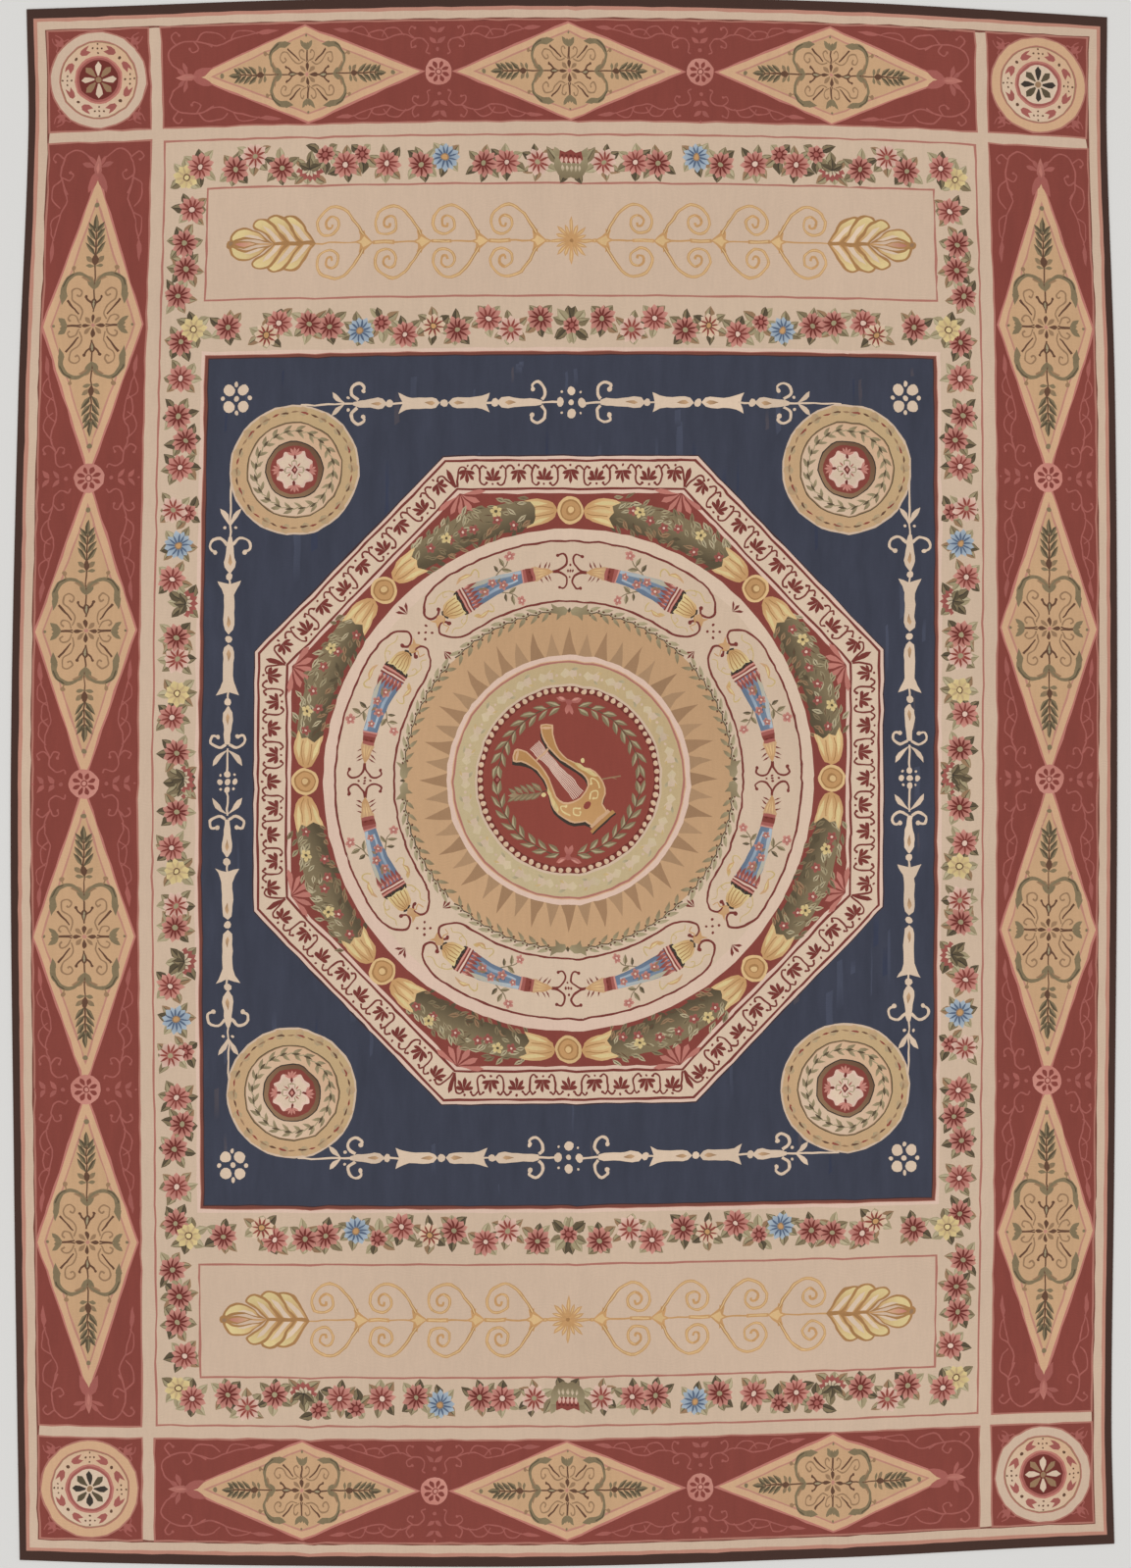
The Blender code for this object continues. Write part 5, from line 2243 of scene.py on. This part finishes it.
    def lie(self, flat: np.ndarray) -> tuple[np.ndarray, np.ndarray]:
        """Lay flat cartoon points on the floor as cloth.

        Args:
            flat: The points, in steps.

        Returns:
            Their places in metres and the upper face's normals there.
        """
        bands, cloth = self.bands, self.cloth
        guided = self.hand.guide(flat, bands, self.folds())
        u = 0.5 + guided[:, 0] / (2 * bands.half_x)
        v = 0.5 - guided[:, 1] / (2 * bands.half_y)
        place = cloth.spread(u, v)
        x, y = place[:, 0], place[:, 1]
        width, length = 2 * cloth.half_width, 2 * cloth.half_length
        rim = np.minimum(np.minimum(u, 1 - u) * width, np.minimum(v, 1 - v) * length)
        z = cloth.height(x, y, np.maximum(rim, 0.0))
        reach = 0.0005
        normal = np.column_stack([
            (cloth.height(x - reach, y) - cloth.height(x + reach, y)) / (2 * reach),
            (cloth.height(x, y - reach) - cloth.height(x, y + reach)) / (2 * reach),
            np.ones(len(x))])
        normal /= np.linalg.norm(normal, axis=1)[:, None]
        return np.column_stack([place - cloth.middle(), z]), normal

    def weave(self, panel: Panel) -> bpy.types.Object:
        """Make one panel as a closed slab of cloth.

        Args:
            panel: The panel.

        Returns:
            The finished object.
        """
        flat, triangles, patches = self.cut(panel)
        place, normal = self.lie(flat)
        bm = bmesh.new()
        verts = [bm.verts.new(row) for row in place.tolist()]
        for a, b, c in triangles.tolist():
            bm.faces.new((verts[a], verts[b], verts[c]))
        rim = [edge for edge in bm.edges if edge.is_boundary]
        made = bmesh.ops.extrude_edge_only(bm, edges=rim)["geom"]
        for item in made:
            if isinstance(item, bmesh.types.BMVert):
                item.co.z = 0.0
        bmesh.ops.contextual_create(
            bm, geom=[item for item in made if isinstance(item, bmesh.types.BMEdge)])
        bm.normal_update()
        mesh = bpy.data.meshes.new(panel.name)
        bm.to_mesh(mesh)
        bm.free()
        self.finish_mesh(mesh, panel, flat, triangles, patches, normal)
        rug = bpy.data.objects.new(panel.name, mesh)
        bpy.context.collection.objects.link(rug)
        mesh.materials.append(self.material)
        log.info("%s: %d patches' triangles, %d faces", panel.name, len(triangles),
                 len(mesh.polygons))
        return rug

    def finish_mesh(self, mesh: bpy.types.Mesh, panel: Panel, flat: np.ndarray,
                    triangles: np.ndarray, patches: np.ndarray, normal: np.ndarray) -> None:
        """Give a panel's mesh its colours, its map and its smooth upper face.

        Args:
            mesh: The mesh; its first faces are the triangles.
            panel: The panel.
            flat: The cartoon places of the upper face's points.
            triangles: The triangles.
            patches: Their patch numbers.
            normal: The upper face's normals at those points.
        """
        loops, top = len(mesh.loops), triangles.size
        corners = flat[triangles.ravel()]
        colour = np.empty((loops, 4))
        colour[:] = (*LINEAR[Yarn.BARK], 0.3)
        colour[:top] = self.dye(corners, patches)
        layer = mesh.color_attributes.new("yarn", "FLOAT_COLOR", "CORNER")
        layer.data.foreach_set("color", colour.ravel())
        low = np.array([panel.x[0], panel.y[0]])
        size = np.array([panel.x[1], panel.y[1]]) - low
        place = np.empty((loops, 2))
        place[:top] = 0.002 + (corners - low) / size * np.array([0.996, 0.982])
        walls = [face for face in mesh.polygons[len(triangles):]]
        for k, face in enumerate(walls[:-1]):
            for n, loop in enumerate(face.loop_indices):
                place[loop] = ((k + (n in (1, 2))) / len(walls), 0.988 + 0.003 * (n > 1))
        under = walls[-1]
        centre = cloth_box(mesh, under)
        for loop in under.loop_indices:
            x, y, _ = mesh.vertices[mesh.loops[loop].vertex_index].co
            place[loop] = ((x - centre[0]) / centre[2], 0.993 + 0.006 * (y - centre[1]) / centre[3])
        mesh.uv_layers.new(name="OFBake").data.foreach_set("uv", place.ravel())
        smooth_faces = np.zeros(len(mesh.polygons), bool)
        smooth_faces[:len(triangles)] = True
        mesh.polygons.foreach_set("use_smooth", smooth_faces)
        normals = np.zeros((loops, 3))
        normals[:top] = normal[triangles.ravel()]
        for face in walls:
            for loop in face.loop_indices:
                normals[loop] = face.normal
        mesh.normals_split_custom_set(normals.tolist())


def cloth_box(mesh: bpy.types.Mesh, face: bpy.types.MeshPolygon) -> tuple[float, ...]:
    """Give the lowest x and y of a face, and its width and length.

    Args:
        mesh: The mesh.
        face: The face.

    Returns:
        Lowest x, lowest y, width and length.
    """
    places = np.array([mesh.vertices[i].co[:2] for i in face.vertices])
    low, size = places.min(axis=0), np.ptp(places, axis=0)
    return (*low, *size)


class Graph:
    """A short way to add and join the nodes of one tree."""

    def __init__(self, tree: bpy.types.NodeTree) -> None:
        """Work on one tree."""
        self.tree = tree

    def add(self, kind: str, **settings: object) -> bpy.types.Node:
        """Add a node with some of its settings.

        Args:
            kind: The node's type.

        Returns:
            The new node.
        """
        node = self.tree.nodes.new(kind)
        for name, value in settings.items():
            setattr(node, name, value)
        return node

    def feed(self, socket: bpy.types.NodeSocket, value: object) -> None:
        """Join a socket to another, or set its value.

        Args:
            socket: The input to fill.
            value: A number, or the output that leads there.
        """
        if isinstance(value, bpy.types.NodeSocket):
            self.tree.links.new(value, socket)
        else:
            socket.default_value = value

    def math(self, operation: str, *values: object, clamp: bool = False) -> bpy.types.NodeSocket:
        """Add a sum of the given kind and give its result.

        Args:
            operation: What is worked out.

        Returns:
            The output that holds the result.
        """
        node = self.add("ShaderNodeMath", operation=operation, use_clamp=clamp)
        for socket, value in zip(node.inputs, values):
            self.feed(socket, value)
        return node.outputs[0]

    def noise(self, vector: bpy.types.NodeSocket, scale: float, detail: float = 2.0,
              roughness: float = 0.5) -> bpy.types.NodeSocket:
        """Add a noise and give its value.

        Args:
            vector: Where the pattern is read.
            scale: The pattern's scale.
            detail: How much fine detail it has.
            roughness: How strong the fine detail is.

        Returns:
            The pattern's output.
        """
        node = self.add("ShaderNodeTexNoise", noise_dimensions="3D")
        self.feed(node.inputs["Vector"], vector)
        self.feed(node.inputs["Scale"], scale)
        self.feed(node.inputs["Detail"], detail)
        self.feed(node.inputs["Roughness"], roughness)
        return node.outputs["Fac"]

    def stretched(self, vector: bpy.types.NodeSocket, scale: tuple[float, float, float],
                  ) -> bpy.types.NodeSocket:
        """Scale a place by its own share along each axis.

        Args:
            vector: Where the pattern is read.
            scale: The pattern's scale.

        Returns:
            The scaled position's output.
        """
        node = self.add("ShaderNodeVectorMath", operation="MULTIPLY")
        self.feed(node.inputs[0], vector)
        self.feed(node.inputs[1], scale)
        return node.outputs[0]


@dataclass(frozen=True)
class WoolFinish:
    """How the wool looks, apart from its dyes."""

    rib: float = 0.0034
    stitch: float = 0.00115
    roughness: float = 0.88
    relief: float = 0.0007
    relief_strength: float = 0.35
    sheen: float = 0.10
    specular: float = 0.18
    streaks: float = 0.20
    fade: float = 0.07
    speckle: float = 0.10


def group(name: str, inputs: Sequence[tuple[str, str]], outputs: Sequence[tuple[str, str]],
          ) -> tuple[Graph, bpy.types.Node, bpy.types.Node]:
    """Start a node group.

    Args:
        name: Its name.
        inputs: Names and socket kinds of what goes in.
        outputs: Names and socket kinds of what comes out.

    Returns:
        Its graph, its input node and its output node.
    """
    tree = bpy.data.node_groups.new(name, "ShaderNodeTree")
    for label, kind in inputs:
        tree.interface.new_socket(label, in_out="INPUT", socket_type=kind)
    for label, kind in outputs:
        tree.interface.new_socket(label, in_out="OUTPUT", socket_type=kind)
    graph = Graph(tree)
    return graph, graph.add("NodeGroupInput"), graph.add("NodeGroupOutput")


def weave_group(finish: WoolFinish) -> bpy.types.NodeTree:
    """Make the group that gives the ribs' relief and a painted shade that darkens the grooves.

    Args:
        finish: The wool's finish.

    Returns:
        The node group.
    """
    g, come, go = group("weave relief", [("Place", "NodeSocketVector")],
                        [("Relief", "NodeSocketFloat"), ("Shade", "NodeSocketFloat")])
    place = come.outputs["Place"]
    split = g.add("ShaderNodeSeparateXYZ")
    waver = g.noise(place, 9.0, 3.0)
    g.feed(split.inputs[0], place)
    x, y = split.outputs[0], split.outputs[1]
    lean = g.math("MULTIPLY", g.math("SUBTRACT", waver, 0.5), 0.03)
    row = g.math("DIVIDE", g.math("ADD", y, lean), finish.rib)
    rib = g.math("SINE", g.math("MULTIPLY", row, 2 * math.pi))
    rib = g.math("MULTIPLY_ADD", rib, 0.5, 0.5)
    odd = g.math("MULTIPLY", g.math("MODULO", g.math("FLOOR", row), 2.0), 0.5)
    column = g.math("ADD", g.math("DIVIDE", g.math("ADD", x, lean), finish.stitch), odd)
    stitch = g.math("SINE", g.math("MULTIPLY", column, 2 * math.pi))
    stitch = g.math("MULTIPLY_ADD", stitch, 0.5, 0.5)
    lumps = g.noise(g.stretched(place, (1.0, 0.35, 1.0)), 700.0, 1.0)
    relief = g.math("MULTIPLY", g.math("POWER", rib, 0.6), g.math("MULTIPLY_ADD", stitch, 0.35, 0.65))
    relief = g.math("MULTIPLY_ADD", lumps, 0.45, relief)
    g.feed(go.inputs["Relief"], relief)
    # Shade is painted shade: the colour is darker in the weave's grooves and lighter on the rib tops.
    g.feed(go.inputs["Shade"], g.math("MULTIPLY_ADD", relief, 0.16, 0.90))
    return g.tree


def dye_group(finish: WoolFinish) -> bpy.types.NodeTree:
    """Make the group that gives the streaks of uneven dye, the fading and the speckle.

    Args:
        finish: The wool's finish.

    Returns:
        The node group.
    """
    g, come, go = group("uneven dye", [("Place", "NodeSocketVector"), ("Streaks", "NodeSocketFloat")],
                        [("Shade", "NodeSocketFloat"), ("Dust", "NodeSocketFloat")])
    place = come.outputs["Place"]
    long = g.noise(g.stretched(place, (5.5, 1.1, 1.0)), 4.0, 4.0, 0.6)
    fine = g.noise(g.stretched(place, (1.0, 0.16, 1.0)), 150.0, 2.0)
    broad = g.noise(place, 1.6, 2.0)
    grain = g.noise(place, 420.0, 1.0)
    streak = g.math("MULTIPLY", g.math("SUBTRACT", long, 0.5), finish.streaks * 3.0)
    streak = g.math("MULTIPLY", streak, g.math("MULTIPLY_ADD", come.outputs["Streaks"], 0.85, 0.15))
    shade = g.math("ADD", 1.0, streak)
    shade = g.math("MULTIPLY_ADD", g.math("SUBTRACT", broad, 0.5), finish.fade * 2.0, shade)
    shade = g.math("MULTIPLY_ADD", g.math("SUBTRACT", fine, 0.5), finish.speckle, shade)
    shade = g.math("MULTIPLY_ADD", g.math("SUBTRACT", grain, 0.5), finish.speckle, shade)
    g.feed(go.inputs["Shade"], shade)
    g.feed(go.inputs["Dust"], broad)
    return g.tree


def wool_material(finish: WoolFinish) -> bpy.types.Material:
    """Make the wool: yarn colours under weave relief, uneven dye and painted groove shade.

    Args:
        finish: How the wool looks.

    Returns:
        The material.
    """
    material = bpy.data.materials.new("wool")
    material.use_nodes = True
    g = Graph(material.node_tree)
    shader = material.node_tree.nodes["Principled BSDF"]
    place = g.add("ShaderNodeTexCoord").outputs["Object"]
    yarn = g.add("ShaderNodeVertexColor", layer_name="yarn")
    weave = g.add("ShaderNodeGroup", node_tree=weave_group(finish))
    dye = g.add("ShaderNodeGroup", node_tree=dye_group(finish))
    g.feed(weave.inputs["Place"], place)
    g.feed(dye.inputs["Place"], place)
    g.feed(dye.inputs["Streaks"], yarn.outputs["Alpha"])
    # The weave's Shade is painted shade, darker in the grooves; the dye's Shade is the yarns' own
    # uneven tone.
    shade = g.math("MULTIPLY", weave.outputs["Shade"], dye.outputs["Shade"])
    colour = g.add("ShaderNodeVectorMath", operation="SCALE")
    g.feed(colour.inputs[0], yarn.outputs["Color"])
    g.feed(colour.inputs["Scale"], shade)
    g.feed(shader.inputs["Base Color"], colour.outputs[0])
    rough = g.math("MULTIPLY_ADD", dye.outputs["Dust"], 0.10, finish.roughness - 0.05)
    g.feed(shader.inputs["Roughness"], rough)
    shader.inputs["Specular IOR Level"].default_value = finish.specular
    shader.inputs["Sheen Weight"].default_value = finish.sheen
    shader.inputs["Sheen Roughness"].default_value = 0.6
    bump = g.add("ShaderNodeBump")
    bump.inputs["Strength"].default_value = finish.relief_strength
    bump.inputs["Distance"].default_value = finish.relief
    g.feed(bump.inputs["Height"], weave.outputs["Relief"])
    g.feed(shader.inputs["Normal"], bump.outputs[0])
    return material


@dataclass(frozen=True)
class Studio:
    """Plain pale floor, soft light and a camera that looks straight down, as in the photo."""

    floor_half: float = 9.0
    floor_colour: tuple[float, float, float, float] = (0.72, 0.71, 0.69, 1.0)
    sky: float = 0.62
    sun: float = 1.28
    sun_angle: float = 50.0
    camera: tuple[float, float, float] = (0.0045, -0.0068, 8.0)
    lens: float = 66.2

    def build(self) -> None:
        """Make the floor, the light and the camera."""
        scene = bpy.context.scene
        bm = bmesh.new()
        bmesh.ops.create_grid(bm, x_segments=1, y_segments=1, size=self.floor_half)
        bmesh.ops.translate(bm, verts=bm.verts, vec=(0.0, 0.0, -0.0002))
        mesh = bpy.data.meshes.new("floor")
        bm.to_mesh(mesh)
        bm.free()
        floor = bpy.data.objects.new("floor", mesh)
        scene.collection.objects.link(floor)
        paint = bpy.data.materials.new("floor_paint")
        paint.use_nodes = True
        paint.node_tree.nodes["Principled BSDF"].inputs["Base Color"].default_value = self.floor_colour
        paint.node_tree.nodes["Principled BSDF"].inputs["Roughness"].default_value = 0.9
        mesh.materials.append(paint)
        world = bpy.data.worlds.new("studio")
        world.use_nodes = True
        world.node_tree.nodes["Background"].inputs["Color"].default_value = (1.0, 1.0, 1.0, 1.0)
        world.node_tree.nodes["Background"].inputs["Strength"].default_value = self.sky
        scene.world = world
        lamp = bpy.data.lights.new("window", "SUN")
        lamp.energy = self.sun
        lamp.angle = math.radians(self.sun_angle)
        light = bpy.data.objects.new("window", lamp)
        light.rotation_euler = (math.radians(18.0), math.radians(-30.0), 0.0)
        scene.collection.objects.link(light)
        lens = bpy.data.cameras.new("camera")
        lens.sensor_fit = "VERTICAL"
        lens.sensor_height = 36.0
        lens.lens = self.lens
        camera = bpy.data.objects.new("camera", lens)
        camera.location = self.camera
        scene.collection.objects.link(camera)
        scene.camera = camera
        scene.view_settings.view_transform = "Standard"


def draw_cartoon() -> Cartoon:
    """Draw the whole pattern, from the grounds up."""
    cartoon = Cartoon()
    for motif in MOTIFS:
        motif.draw(cartoon)
        log.info("%s drawn, %d patches so far", type(motif).__name__, len(cartoon.patches))
    return cartoon


def main() -> None:
    """Draw the cartoon, weave its panels and set up the studio."""
    logging.basicConfig(level=logging.INFO, format="%(message)s")
    bands, cloth = Bands(), Cloth()
    material = wool_material(WoolFinish())
    loom = Loom(draw_cartoon(), bands, cloth, Hand(), material)
    for panel in loom.panels():
        piece = loom.weave(panel)
        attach(piece, BODY)
        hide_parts(NODE)
    Studio().build()


if __name__ == "__main__":
    main()
